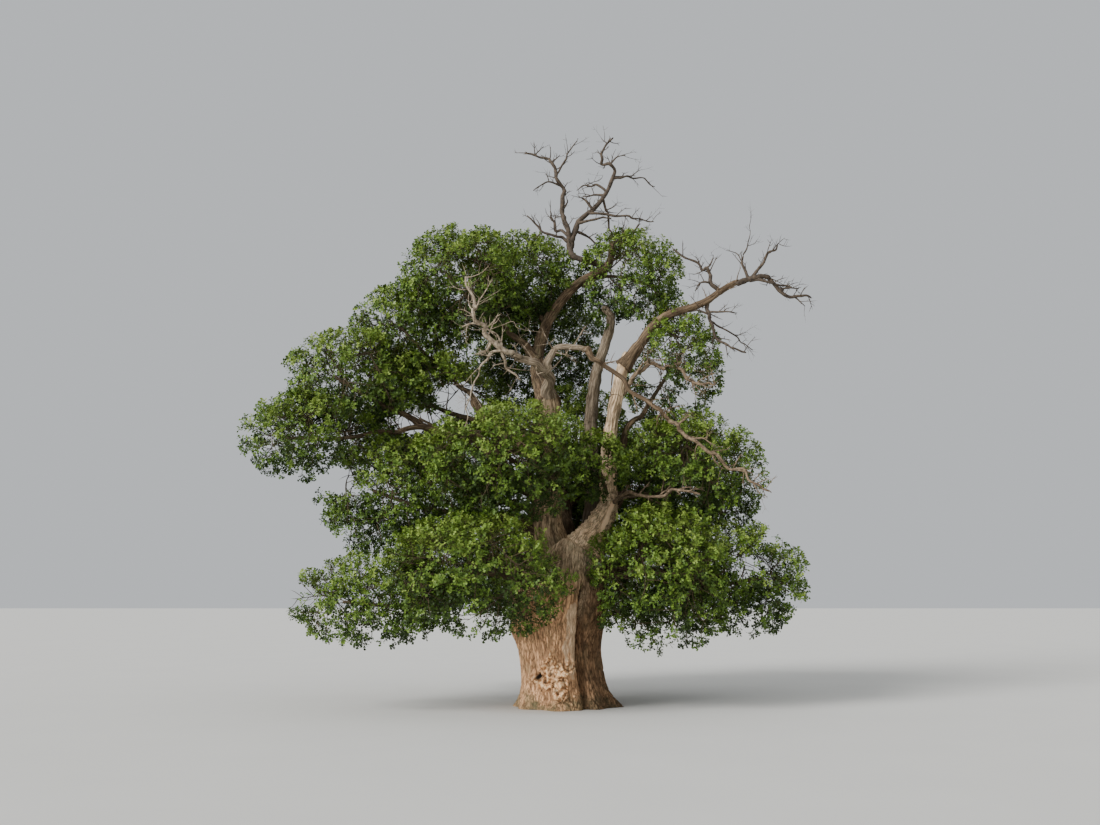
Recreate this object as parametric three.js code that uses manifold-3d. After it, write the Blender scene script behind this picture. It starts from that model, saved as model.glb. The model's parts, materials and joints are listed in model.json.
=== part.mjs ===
// A very old oak that has died back at the top: a short thick trunk, leaning stems, bare antlers above
// and a low wide crown of leaf masses. Millimetres, +Z up. The origin lies in the flat cut at ground
// level, under the trunk. The view along +Y, with +X to the right, is the side that is described first.
import * as THREE from "three";
import { mergeVertices } from "three/addons/utils/BufferGeometryUtils.js";
import Module from "manifold-3d";

const wasm = await Module();
wasm.setup();

// Clearance between neighbours, and how many seeds of chance there are
const CLEAR = 0.3;
const SEEDS = 997;

// Trunk: girth, root flare, the deep front cleft, the burr on its left and the dome under the fork
const TRUNK_LINE = [[100, 0, 0], [-40, 0, 1500], [20, 20, 2800], [220, 60, 4370]];
const TRUNK_RADIUS = 1050;
const TRUNK_SIDES = 28;
const TRUNK_STEPS = 11;
const FOOT_SPACING = 0.45;
const FLARE = { radius: 120, height: 350 };
const BULGE = { radius: 190, middle: 2700, height: 900 };
const DOME = { start: 3000, height: 1410 };
const CLEFT = { angle: -59, width: 7, depth: 270, full: 2200, end: 3400 };
const BURR = { angle: 184, width: 24, depth: 150, middle: 2000, height: 380 };
const TOES = { angles: [-6, -46, -98, -142, 176, 130, 84, 38], width: 15, height: 420 };
const TOE_REACH = { least: 150, more: 110, longest: 360 };
const FLUTES = { depth: 34, count: 5, twist: 1600 };

// Limbs: each springs from the middle of another one, passes through a few places and tapers to its tip
const LIMBS = {
  stem_left: {
    from: "trunk", at: 0.72, tip: [-340, 0, 8560], radii: [480, 260], crook: 30, steps: 9,
    through: [[-350, 0, 4610], [-300, 0, 5960], [-220, 0, 7060]],
  },
  stem_right: {
    from: "trunk", at: 0.7, tip: [1840, 0, 9540], radii: [300, 165], crook: 25, steps: 12,
    collar: { swell: 2, length: 0.18 },
    through: [[810, 0, 4340], [1270, 0, 5180], [1330, 0, 6000], [1400, 0, 7370]],
  },
  stem_back: {
    from: "trunk", at: 0.74, tip: [-650, 3150, 9200], radii: [420, 150], crook: 60, steps: 8,
    through: [[100, 1500, 5000], [-300, 2300, 7000]],
  },
  snag: {
    from: "trunk", at: 0.8, tip: [1300, 1500, 11270], radii: [270, 100], crook: 35, steps: 11,
    through: [[860, 1150, 4960], [910, 1500, 7460], [1130, 1500, 9350], [1490, 1500, 10750]],
  },
  leader: {
    from: "stem_left", at: 0.92, tip: [1550, 1000, 13100], radii: [215, 85], crook: 30, steps: 12,
    through: [[-650, 750, 9250], [-400, 1000, 10570], [490, 1000, 11700], [1390, 1000, 12370]],
  },
  dead_right: {
    from: "stem_right", at: 0.96, tip: [5020, 0, 11580], radii: [150, 80], crook: 35, steps: 9,
    through: [[2770, 0, 10370], [4050, 0, 11000]],
  },
  dead_left: {
    from: "stem_left", at: 0.94, tip: [-1230, -1800, 9060], radii: [150, 75], crook: 40, steps: 6,
    through: [[-380, -1000, 8730], [-900, -1550, 8930]],
  },
  dead_cross_inner: {
    from: "dead_left", at: 0.36, tip: [760, -1400, 9240], radii: [95, 72], crook: 20, steps: 5,
    through: [[-60, -1280, 9300]],
  },
  dead_cross_outer: {
    from: "dead_cross_inner", at: 0.96, tip: [2850, -1800, 7270], radii: [70, 50], crook: 45, steps: 7,
    through: [[1150, -1400, 8780], [2330, -1600, 7830]],
  },
  stub_left: {
    from: "stem_left", at: 0.56, tip: [-2460, 450, 8320], radii: [200, 120], crook: 45, steps: 6,
    through: [[-1250, 300, 7150], [-1950, 480, 7650]],
  },
  stub_low: {
    from: "stem_left", at: 0.3, tip: [-3650, -500, 6050], radii: [120, 45], crook: 60, steps: 6,
    through: [[-1500, -200, 5500], [-2700, -450, 6000]],
  },
};
const STEM_SIDES = 8;
const LIMB_SIDES = 6;
const LIMB_WAVES = 1.7;
const COLLAR = { swell: 0.4, length: 0.11 };

// Bare crown: the stem of each dead mass, then its twigs, written as
// [twig it grows on, share along that one, heading, length, curl]. Heading 0 is up and 90 is to the
// right, in degrees seen from the front, and curl is how far the heading turns by the twig's tip.
const BARE = {
  bare_top_left: {
    from: "leader", at: 0.78, tip: [-1010, 1000, 15830], radii: [85, 26], steps: 9,
    through: [
      [450, 1000, 12680], [205, 1000, 13350], [140, 1000, 14330], [-120, 1000, 15150], [-330, 1000, 15600],
    ],
    twigs: [
      [0, 0.28, -75, 1500, 30], [0, 0.31, -48, 1450, 40], [2, 0.55, -2, 380, 20], [0, 0.57, -62, 1150, -70],
      [0, 0.66, 36, 1300, -12], [0, 0.78, 40, 380, 10], [0, 0.93, 5, 480, 50], [5, 0.5, 70, 300, -30],
      [4, 0.5, -15, 300, -20], [1, 0.6, -10, 380, -30], [0, 0.47, 45, 420, -30],
    ],
  },
  bare_top_right: {
    from: "bare_top_left", at: 0.22, tip: [1610, 1000, 16300], radii: [75, 26], steps: 9,
    through: [[640, 1000, 13710], [1230, 1000, 14360], [1600, 1000, 15250], [1230, 1000, 15680]],
    twigs: [
      [0, 0.12, 100, 800, 30], [0, 0.19, 92, 1050, -12], [0, 0.26, 92, 2000, 12], [3, 0.9, 55, 300, -10],
      [0, 0.42, 155, 1800, 42], [5, 0.2, 80, 420, -35], [0, 0.45, -38, 1300, -95], [7, 0.7, 80, 750, -50],
      [0, 0.43, -82, 680, -20], [0, 0.52, 70, 1500, 42], [10, 0.5, 40, 420, 30], [0, 0.66, 52, 560, 25],
      [0, 0.92, -40, 280, 10], [5, 0.62, 215, 420, -20], [0, 0.34, -30, 520, -20],
    ],
  },
  bare_top_low: {
    from: "leader", at: 0.97, tip: [2380, 1000, 13620], radii: [50, 24], steps: 3,
    through: [[1950, 1000, 13260]],
    twigs: [[0, 0.4, 5, 440, 15], [0, 0.7, 95, 480, -20], [0, 0.15, -35, 420, 30]],
  },
  bare_right_end: {
    from: "dead_right", at: 0.97, tip: [7050, 0, 11090], radii: [76, 24], steps: 6,
    through: [[5750, 0, 11690], [6450, 0, 11200]],
    twigs: [
      [0, 0.15, -38, 850, 55], [1, 1, 38, 900, -40], [2, 1, -15, 460, 40], [1, 0.7, -15, 680, -65],
      [0, 0.17, 36, 1350, 5], [5, 0.6, 85, 420, -75], [0, 0.14, 118, 1350, -35], [0, 0.55, 70, 600, 35],
      [0, 0.75, 120, 420, 20], [2, 0.5, 75, 380, -40], [7, 0.6, 140, 320, -20],
    ],
  },
  bare_right_rise: {
    from: "dead_right", at: 0.8, tip: [3230, 0, 12520], radii: [52, 24], steps: 4,
    through: [[4120, 0, 11790], [3920, 0, 12060]],
    twigs: [
      [0, 0.45, 58, 600, -60], [0, 0.16, -68, 800, -95], [0, 0.7, 5, 360, -40], [2, 0.55, -150, 300, 20],
    ],
  },
  bare_right_drop: {
    from: "dead_right", at: 0.7, tip: [5150, -100, 9500], radii: [52, 24], steps: 5,
    through: [[4110, 0, 10680], [4220, 0, 10350], [4560, -100, 9650]],
    twigs: [
      [0, 0.24, 78, 900, 25], [0, 0.26, -70, 780, -40], [0, 0.42, 104, 1600, 28], [3, 0.5, 60, 380, 20],
      [0, 0.62, 200, 420, -30], [3, 0.75, 150, 300, -10], [1, 0.5, 30, 300, 40],
    ],
  },
  bare_right_arm: {
    from: "stem_right", at: 0.87, tip: [4220, -600, 8500], radii: [62, 24], steps: 5,
    through: [[2370, -200, 9040], [3120, -400, 8970], [3760, -600, 8540]],
    twigs: [
      [0, 0.13, 36, 850, 10], [1, 0.95, 96, 2000, 16], [2, 0.4, 60, 360, 30], [2, 0.7, 140, 380, -20],
      [0, 0.5, 60, 480, 40], [0, 0.72, 150, 420, -40],
    ],
  },
  bare_low_right: {
    from: "stem_right", at: 0.42, tip: [3590, -1500, 5440], radii: [56, 24], steps: 5,
    through: [[1700, -700, 5450], [2660, -1300, 5480]],
    twigs: [[0, 0.22, 68, 1050, 25], [0, 0.5, 116, 1000, 8], [0, 0.62, 28, 520, 70], [0, 0.8, 70, 380, 20]],
  },
  bare_cross: {
    from: "dead_cross_outer", at: 0.97, tip: [5320, -2000, 5440], radii: [48, 22], steps: 5,
    through: [[3490, -1900, 6780], [4550, -2000, 5980]],
    twigs: [
      [0, 0.3, 85, 700, 45], [0, 0.45, 150, 600, -30], [1, 0.6, 20, 300, -30], [0, 0.62, 80, 620, 50],
      [0, 0.8, 165, 400, -30], [0, 0.12, 30, 420, 30],
    ],
  },
  bare_left: {
    from: "dead_left", at: 0.96, tip: [-2450, -2300, 10990], radii: [68, 24], steps: 7,
    through: [[-1740, -2100, 9340], [-2120, -2300, 9780], [-2260, -2300, 10300]],
    twigs: [
      [0, 0.16, 8, 480, -45], [1, 1, -55, 480, -30], [2, 0.5, 70, 1500, 45], [0, 0.46, -92, 600, -15],
      [0, 0.24, -138, 640, 20], [0, 0.13, -105, 1050, -60], [6, 1, -172, 1900, 10], [7, 0.4, -140, 360, -20],
      [0, 0.15, 172, 1100, -45], [0, 0.7, 40, 360, -40], [7, 0.75, 160, 380, 20], [0, 0.85, -50, 300, 30],
    ],
  },
};
const STALK_SIDES = 5;
const TWIG_SIDES = 3;
const TWIG_STEPS = 2;
const TWIG_SHARE = 0.64;
const TWIG_TAPER = 0.45;
const TWIG_LEAN = 40;

// Leaf masses: middle and half sizes of the space each one keeps to. Where a bough is named, that bough
// leaves limb `from` at share `at`, arches up and ends in the space. Otherwise the mass's own stem does.
const MASSES = {
  low_left_inner: {
    middle: [-2200, -2150, 3300], half: [2600, 2150, 1600],
    from: "trunk", at: 0.66, stem: 150,
  },
  low_left_outer: {
    middle: [-4800, -1100, 2750], half: [2250, 2000, 1200],
    bough: "bough_low_left", from: "trunk", at: 0.7, arch: 900, radii: [230, 80],
  },
  left_lower: {
    middle: [-4350, 100, 5500], half: [2300, 2100, 1750],
    bough: "bough_left_lower", from: "stem_left", at: 0.22, arch: 250, radii: [220, 85],
  },
  left_upper: {
    middle: [-5700, 0, 8550], half: [2000, 2050, 1600],
    bough: "bough_left_upper", from: "stem_left", at: 0.4, arch: 300, radii: [250, 75],
  },
  left_tip: {
    middle: [-6700, -700, 7050], half: [1850, 1800, 1200],
    bough: "bough_left_tip", from: "bough_left_upper", at: 0.62, arch: 150, radii: [95, 55],
  },
  left_inner: {
    middle: [-3870, 1300, 8400], half: [2050, 1950, 1800],
    bough: "bough_left_inner", from: "stem_left", at: 0.68, arch: 250, radii: [165, 80],
  },
  shoulder_left: {
    middle: [-4300, 1000, 10250], half: [1750, 1900, 1500],
    bough: "bough_shoulder", from: "bough_left_inner", at: 0.7, arch: 150, radii: [80, 50],
  },
  top_left: {
    middle: [-2750, 400, 11450], half: [1950, 1950, 1850],
    bough: "bough_top_left", from: "leader", at: 0.24, arch: 100, radii: [125, 70],
  },
  top_middle: {
    middle: [-1050, 2000, 11900], half: [1850, 1800, 1800],
    bough: "bough_top_middle", from: "leader", at: 0.4, arch: 0, radii: [95, 60],
  },
  top_right: {
    middle: [2100, 1350, 11900], half: [1600, 1700, 1700],
    bough: "bough_top_right", from: "leader", at: 0.64, arch: -120, radii: [85, 50],
  },
  centre_front: {
    middle: [-1350, -1900, 6250], half: [2350, 1850, 1600],
    from: "stem_left", at: 0.4, stem: 120,
  },
  centre_back: {
    middle: [500, 2800, 6900], half: [1800, 1600, 2300],
    from: "stem_back", at: 0.42, stem: 100,
  },
  right_upper: {
    middle: [3200, 900, 9250], half: [1450, 1750, 1950],
    bough: "bough_right_upper", from: "stem_right", at: 0.66, arch: 100, radii: [120, 60],
  },
  right_middle: {
    middle: [3550, 500, 6150], half: [2200, 2000, 1850],
    bough: "bough_right_middle", from: "stem_right", at: 0.4, arch: 150, radii: [170, 75],
  },
  low_right_inner: {
    middle: [2600, -1000, 3300], half: [2100, 1950, 1950],
    from: "trunk", at: 0.7, stem: 130,
  },
  low_right_outer: {
    middle: [4750, 200, 3300], half: [1950, 2000, 1600],
    bough: "bough_low_right", from: "trunk", at: 0.72, arch: 500, radii: [200, 75],
  },
  rear_left: {
    middle: [-3700, 4200, 8100], half: [2800, 2300, 2300],
    bough: "bough_rear_left", from: "stem_back", at: 0.58, arch: 150, radii: [170, 70],
  },
  rear_right: {
    middle: [3200, 4300, 6300], half: [2600, 2150, 2150],
    bough: "bough_rear_right", from: "stem_back", at: 0.4, arch: 200, radii: [170, 70],
  },
  rear_low_left: {
    middle: [-2500, 3900, 3900], half: [2800, 2150, 1650],
    bough: "bough_rear_low_left", from: "trunk", at: 0.7, arch: 400, radii: [190, 75],
  },
  rear_low_right: {
    middle: [2300, 3900, 3500], half: [2500, 2050, 1550],
    bough: "bough_rear_low_right", from: "trunk", at: 0.72, arch: 400, radii: [180, 75],
  },
  rear_top: {
    middle: [-700, 4100, 10500], half: [2300, 2050, 2100],
    from: "stem_back", at: 0.97, stem: 110,
  },
};
const BOUGH_SIDES = 5;
const BOUGH_STEPS = 4;
const BOUGH_CROOK = 0.03;
const ENTRY = 0.74;

// How a leaf mass grows: shoots to all sides of its space, each from the stem or from an earlier shoot.
// A shoot ends in a broad leaf that stands for a spray, and carries more of them to both sides.
const SHOOT_DENSITY = 1.265;
const GOLDEN_ANGLE = 2.399963;
const LOWEST_AIM = -0.92;
const BOUGH_END = 0.98;
const STEM_FIT = 0.94;
const STEM_LIFT = 0.35;
const STEM_REACH = 0.35;
const STEM_TIP = 70;
const STEM_SHARES = [0.2, 0.3, 0.4, 0.5, 0.58, 0.66, 0.74, 0.82, 0.9, 0.98];
const SHOOT_SHARES = [0.25, 0.5];
const SHOOT_REACH = [0.9, 0.99];
const SHOOT_LEAST = 250;
const SHOOT_RADII = [34, 22];
const SIDES = [{ share: 0.3, hand: 1 }, { share: 0.56, hand: -1 }, { share: 0.84, hand: 1 }];
const SIDE_ANGLES = [42, 66];
const SIDE_UP = [0, 0, 0.5];
const LEAF = { length: [1450, 1950], width: 0.88, ridge: 45, belly: 0.5 };
const SHOOT_NUMBERS = 400;
const SIDE_NUMBERS = 100;
const LEAF_TRIES = 8;
const LEAF_TURN = 0.4;
const LEAF_SPIN = 2.4;
const LEAF_TILT = [0, -0.3, 0.3];
const LEAF_SHRINK = 0.95;

const BARK = new THREE.MeshStandardMaterial({ color: 0x7d6c59, roughness: 0.95, metalness: 0 });
const DEAD_WOOD = new THREE.MeshStandardMaterial({ color: 0x9c8f80, roughness: 0.85, metalness: 0 });
const LEAVES = new THREE.MeshStandardMaterial({ color: 0x3d5a24, roughness: 0.7, metalness: 0 });

const vector = (place) => new THREE.Vector3(...place);
const mix = (a, b, share) => a + (b - a) * share;
const radians = THREE.MathUtils.degToRad;

// A number from 0 to 1 that looks like chance and is always the same for the same two numbers.
function chance(seed, number) {
  const wave = Math.sin(seed * 12.9898 + number * 78.233) * 43758.5453;
  return wave - Math.floor(wave);
}

// The letters of a name as one number, so that each node has its own run of chance.
function seedOf(name) {
  return [...name].reduce((sum, letter, index) => sum + letter.charCodeAt(0) * (index + 1), 0) % SEEDS;
}

// A closed three.js geometry as a solid that can be joined and cut, without faces of no size.
function solidOf(geometry) {
  geometry.deleteAttribute("normal");
  geometry.deleteAttribute("uv");
  const merged = mergeVertices(geometry, 1e-3);
  const vertProperties = new Float32Array(merged.attributes.position.array);
  const corners = [...merged.index.array];
  const triVerts = new Uint32Array(corners.filter((_, place) => {
    const [a, b, c] = corners.slice(place - (place % 3), place - (place % 3) + 3);
    return a !== b && b !== c && c !== a;
  }));
  return new wasm.Manifold(new wasm.Mesh({ numProp: 3, vertProperties, triVerts }));
}

// The largest body of a solid, without loose scraps and with sealed hollows filled.
function largestBody(solid) {
  return solid.decompose().reduce((best, body) => (body.volume() > best.volume() ? body : best));
}

// A cylinder of one unit whose every vertex is moved by place(share along, angle around, 0 or 1 across).
// A pointed one closes in a single vertex at its far end.
function bentCylinder(sides, steps, place, pointed = false) {
  const geometry = new THREE.CylinderGeometry(pointed ? 0 : 1, 1, 1, sides, steps);
  const position = geometry.attributes.position;
  for (let i = 0; i < position.count; i++) {
    const across = Math.hypot(position.getX(i), position.getZ(i)) > 1e-6 ? 1 : 0;
    const around = Math.atan2(-position.getZ(i), position.getX(i));
    const moved = place(position.getY(i) + 0.5, around, across);
    position.setXYZ(i, moved.x, moved.y, moved.z);
  }
  return solidOf(geometry);
}

// The middle line of a limb: a smooth curve through its places, with a crook of its own laid over it.
class LimbLine extends THREE.Curve {
  constructor(places, crook, seed) {
    super();
    this.spline = new THREE.CatmullRomCurve3(places, false, "catmullrom", 0.5);
    this.crook = crook;
    this.phases = [1, 2, 3].map((number) => chance(seed, number));
  }

  getPoint(share) {
    const sway = this.phases.map((phase) => Math.sin(2 * Math.PI * (LIMB_WAVES * share + phase)));
    const size = this.crook * Math.sin(Math.PI * share);
    return this.spline.getPoint(share).addScaledVector(vector(sway), size);
  }
}

// Two directions across a line at one share of it, made from the world axis that lies most across it.
function acrossLine(line, share) {
  const chord = line.getPoint(1).sub(line.getPoint(0));
  const sizes = chord.toArray().map(Math.abs);
  const axis = new THREE.Vector3().setComponent(sizes.indexOf(Math.min(...sizes)), 1);
  const tangent = line.getTangent(share);
  const side = axis.cross(tangent).normalize();
  return { tangent, side, other: tangent.clone().cross(side) };
}

// A tapering round limb along a line. `grow` makes it thicker and longer, as the room that it takes.
function taperedLimb(line, radiusAt, sides, steps, grow, pointed = false) {
  return bentCylinder(sides, steps, (share, angle, across) => {
    const { tangent, side, other } = acrossLine(line, share);
    const radius = (radiusAt(share) + grow) * across;
    const end = grow * (share === 1) - grow * (share === 0);
    return line.getPoint(share)
      .addScaledVector(side, radius * Math.cos(angle))
      .addScaledVector(other, radius * Math.sin(angle))
      .addScaledVector(tangent, end);
  }, pointed);
}

// Radius along a limb: an even taper with a collar that swells at its foot.
function limbTaper([foot, tip], { swell, length } = COLLAR) {
  return (share) => mix(foot, tip, share) * (1 + swell * Math.exp(-share / length));
}

// How far two angles in degrees lie apart, from 0 to 180.
function angleGap(a, b) {
  return Math.abs(THREE.MathUtils.euclideanModulo(a - b + 180, 360) - 180);
}

// A bell-shaped bump that is 1 at no distance and fades over `width`.
function bump(distance, width) {
  return Math.exp(-((distance / width) ** 2));
}

// Radius of the trunk at an angle in degrees and a height: girth, toes, flutes, burr, cleft and dome.
function trunkRadius(angle, height) {
  const girth = TRUNK_RADIUS + FLARE.radius * Math.exp(-height / FLARE.height)
    + BULGE.radius * bump(height - BULGE.middle, BULGE.height);
  const toes = TOES.angles.reduce((sum, toe, index) => {
    const reach = index === 0 ? TOE_REACH.longest : TOE_REACH.least + TOE_REACH.more * chance(index, 7);
    return sum + reach * bump(angleGap(angle, toe), TOES.width);
  }, 0) * Math.exp(-height / TOES.height);
  const flutes = FLUTES.depth * Math.cos(FLUTES.count * radians(angle) + height / FLUTES.twist);
  const burr = BURR.depth * bump(angleGap(angle, BURR.angle), BURR.width)
    * bump(height - BURR.middle, BURR.height);
  const fade = 1 - THREE.MathUtils.smoothstep(height, CLEFT.full, CLEFT.end);
  const cleft = CLEFT.depth * bump(angleGap(angle, CLEFT.angle), CLEFT.width) * fade;
  const rise = Math.max(0, height - DOME.start) / DOME.height;
  return (girth + toes + flutes + burr - cleft) * Math.sqrt(1 - rise * rise);
}

// The trunk from its flat cut at ground level to the dome that the stems leave.
function trunkSolid(line, grow) {
  const top = line.getPoint(1).z;
  return bentCylinder(TRUNK_SIDES, TRUNK_STEPS, (share, around, across) => {
    const height = top * share * mix(FOOT_SPACING, 1, share);
    const radius = (trunkRadius(THREE.MathUtils.radToDeg(around), height) + grow) * across;
    const place = line.getPoint(height / top);
    place.x += radius * Math.cos(around);
    place.y += radius * Math.sin(around);
    return place.setZ(height + grow * (share === 1));
  });
}

// Every solid that others keep clear of, grown by the clearance, with its bounding box.
const kept = [];
const lines = {};
const tree = new THREE.Group();

function boxesMeet(a, b) {
  return [0, 1, 2].every((axis) => a.min[axis] < b.max[axis] && b.min[axis] < a.max[axis]);
}

// The solids among those kept so far whose boxes meet this solid's box.
function neighbours(solid) {
  const box = solid.boundingBox();
  return kept.filter((other) => boxesMeet(box, other.box)).map((other) => other.solid);
}

function touches(solid, others) {
  return others.some((other) => !solid.intersect(other).isEmpty());
}

function keep(solid) {
  kept.push({ solid, box: solid.boundingBox() });
}

// A solid as a named mesh of the tree.
function addNode(name, solid, material) {
  const { vertProperties, triVerts } = solid.getMesh();
  const geometry = new THREE.BufferGeometry();
  geometry.setAttribute("position", new THREE.BufferAttribute(vertProperties, 3));
  geometry.setIndex(new THREE.BufferAttribute(triVerts, 1));
  geometry.computeVertexNormals();
  const mesh = new THREE.Mesh(geometry, material);
  mesh.name = name;
  tree.add(mesh);
}

function addTrunk() {
  lines.trunk = new LimbLine(TRUNK_LINE.map(vector), 0, 0);
  addNode("trunk", trunkSolid(lines.trunk, 0), BARK);
  keep(trunkSolid(lines.trunk, CLEAR));
}

// One limb from the middle of the limb that carries it, cut clear of all that stands already.
function addLimb(name, limb, sides, material) {
  const foot = lines[limb.from].getPoint(limb.at);
  const places = [foot, ...limb.through.map(vector), vector(limb.tip)];
  const line = new LimbLine(places, limb.crook, seedOf(name));
  const taper = limbTaper(limb.radii, limb.collar);
  const whole = taperedLimb(line, taper, sides, limb.steps, 0);
  const cut = neighbours(whole).reduce((solid, other) => solid.subtract(other), whole);
  lines[name] = line;
  addNode(name, largestBody(cut), material);
  keep(taperedLimb(line, taper, sides, limb.steps, CLEAR));
}

// The heading that is seen from the front, turned away from the viewer by `lean`, both in degrees.
function headingOf(heading, lean) {
  const flat = Math.cos(radians(lean));
  return new THREE.Vector3(
    Math.sin(radians(heading)) * flat,
    Math.sin(radians(lean)),
    Math.cos(radians(heading)) * flat,
  );
}

// A twig that sets out one way and ends another: a curve with one bend.
function twigLine(foot, outward, onward, length) {
  const bend = foot.clone().addScaledVector(outward, length / 2);
  const tip = bend.clone().addScaledVector(onward, length / 2);
  return new THREE.QuadraticBezierCurve3(foot, bend, tip);
}

// A point on the straight facets that stand for a line.
function facetPoint(line, share, steps) {
  const facet = Math.min(Math.floor(share * steps), steps - 1);
  return line.getPoint(facet / steps).lerp(line.getPoint((facet + 1) / steps), share * steps - facet);
}

// A bare mass: its stem and its twigs fused in one solid. A twig that carries others has a blunt tip.
function addBareMass(name, mass) {
  const seed = seedOf(name);
  const foot = lines[mass.from].getPoint(mass.at);
  const places = [foot, ...mass.through.map(vector), vector(mass.tip)];
  const stem = new LimbLine(places, 0, seed);
  const parts = [{ line: stem, radii: mass.radii, sides: STALK_SIDES, steps: mass.steps }];
  mass.twigs.forEach(([parent, at, heading, length, curl], index) => {
    const lean = TWIG_LEAN * (chance(seed, index) - 0.5) * 2;
    const onward = lean * (chance(seed, index + 50) - 0.5) * 2;
    const { line, radii, steps } = parts[parent];
    const foot = facetPoint(line, at, steps);
    const thick = mix(...radii, at) * (at === 1 ? 1 : TWIG_SHARE);
    parts.push({
      line: twigLine(foot, headingOf(heading, lean), headingOf(heading + curl, onward), length),
      radii: [thick, thick * TWIG_TAPER],
      sides: TWIG_SIDES,
      steps: TWIG_STEPS,
      pointed: !mass.twigs.some(([carrier]) => carrier === index + 1),
    });
  });
  const solids = parts.map(({ line, radii, sides, steps, pointed }) => (
    taperedLimb(line, (share) => mix(...radii, share), sides, steps, 0, pointed)
  ));
  const joined = wasm.Manifold.union(solids);
  const cut = neighbours(joined).reduce((solid, other) => solid.subtract(other), joined);
  lines[name] = stem;
  addNode(name, largestBody(cut), DEAD_WOOD);
  keep(taperedLimb(stem, (share) => mix(...mass.radii, share), STALK_SIDES, mass.steps, CLEAR));
  solids.slice(1).forEach(keep);
}

// A three-sided blade that runs through rings of given half widths and half heights and closes in a
// point. `way` is where it points and `face` its upper side.
function blade(rings, way, face) {
  const side = way.clone().cross(face).normalize();
  const ridge = side.clone().cross(way);
  return bentCylinder(3, rings.length - 1, (share, around, across) => {
    const { place, width, height } = rings[Math.round(share * (rings.length - 1))];
    return place.clone()
      .addScaledVector(side, width * across * Math.sin(around))
      .addScaledVector(ridge, height * across * Math.cos(around));
  }, true);
}

// A leaf that stands for a spray. It carries on from the rings of its stalk, the last of which lies at
// the neck, is widest at its belly and ends in a point.
function leafSolid(shoot, neck, way, face, length) {
  const along = (share) => neck.clone().addScaledVector(way, length * share);
  const belly = { place: along(LEAF.belly), width: (length * LEAF.width) / 2, height: LEAF.ridge };
  return blade([...shoot, belly, { place: along(1), width: 0, height: 0 }], way, face);
}

// Share of the way from the middle of a space to its skin, for a point.
function depthIn(space, point) {
  return point.clone().sub(space.middle).divide(space.half).length();
}

// How far it is from a point inside a space to its skin, going one way.
function roomFrom(space, point, way) {
  const start = point.clone().sub(space.middle).divide(space.half);
  const step = way.clone().divide(space.half);
  const along = start.dot(step);
  const size = step.lengthSq();
  return (Math.sqrt(Math.max(0, along * along - size * (start.lengthSq() - 1))) - along) / size;
}

function inside(space, solid) {
  const { vertProperties } = solid.getMesh();
  for (let i = 0; i < vertProperties.length; i += 3) {
    if (depthIn(space, new THREE.Vector3(...vertProperties.slice(i, i + 3))) > 1) return false;
  }
  return true;
}

// Aim of one shoot of many: directions spread evenly over a sphere, turned so that the one that is
// nearest to level points the outward way.
function aimOf(index, count, outward) {
  const level = Math.round(count / (1 - LOWEST_AIM) - 0.5);
  const height = mix(1, LOWEST_AIM, (index + 0.5) / count);
  const around = GOLDEN_ANGLE * (index - level) + outward;
  const flat = Math.sqrt(1 - height * height);
  return new THREE.Vector3(flat * Math.cos(around), flat * Math.sin(around), height);
}

// The way that something leaves a line to one hand, spread out in the plane that faces the space's skin.
function sideWay(line, share, hand, aim, luck) {
  const along = line.getTangent(share);
  const across = along.clone().cross(aim.clone().add(vector(SIDE_UP))).normalize();
  const spread = radians(mix(...SIDE_ANGLES, luck));
  return along.multiplyScalar(Math.cos(spread)).addScaledVector(across, hand * Math.sin(spread));
}

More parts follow.
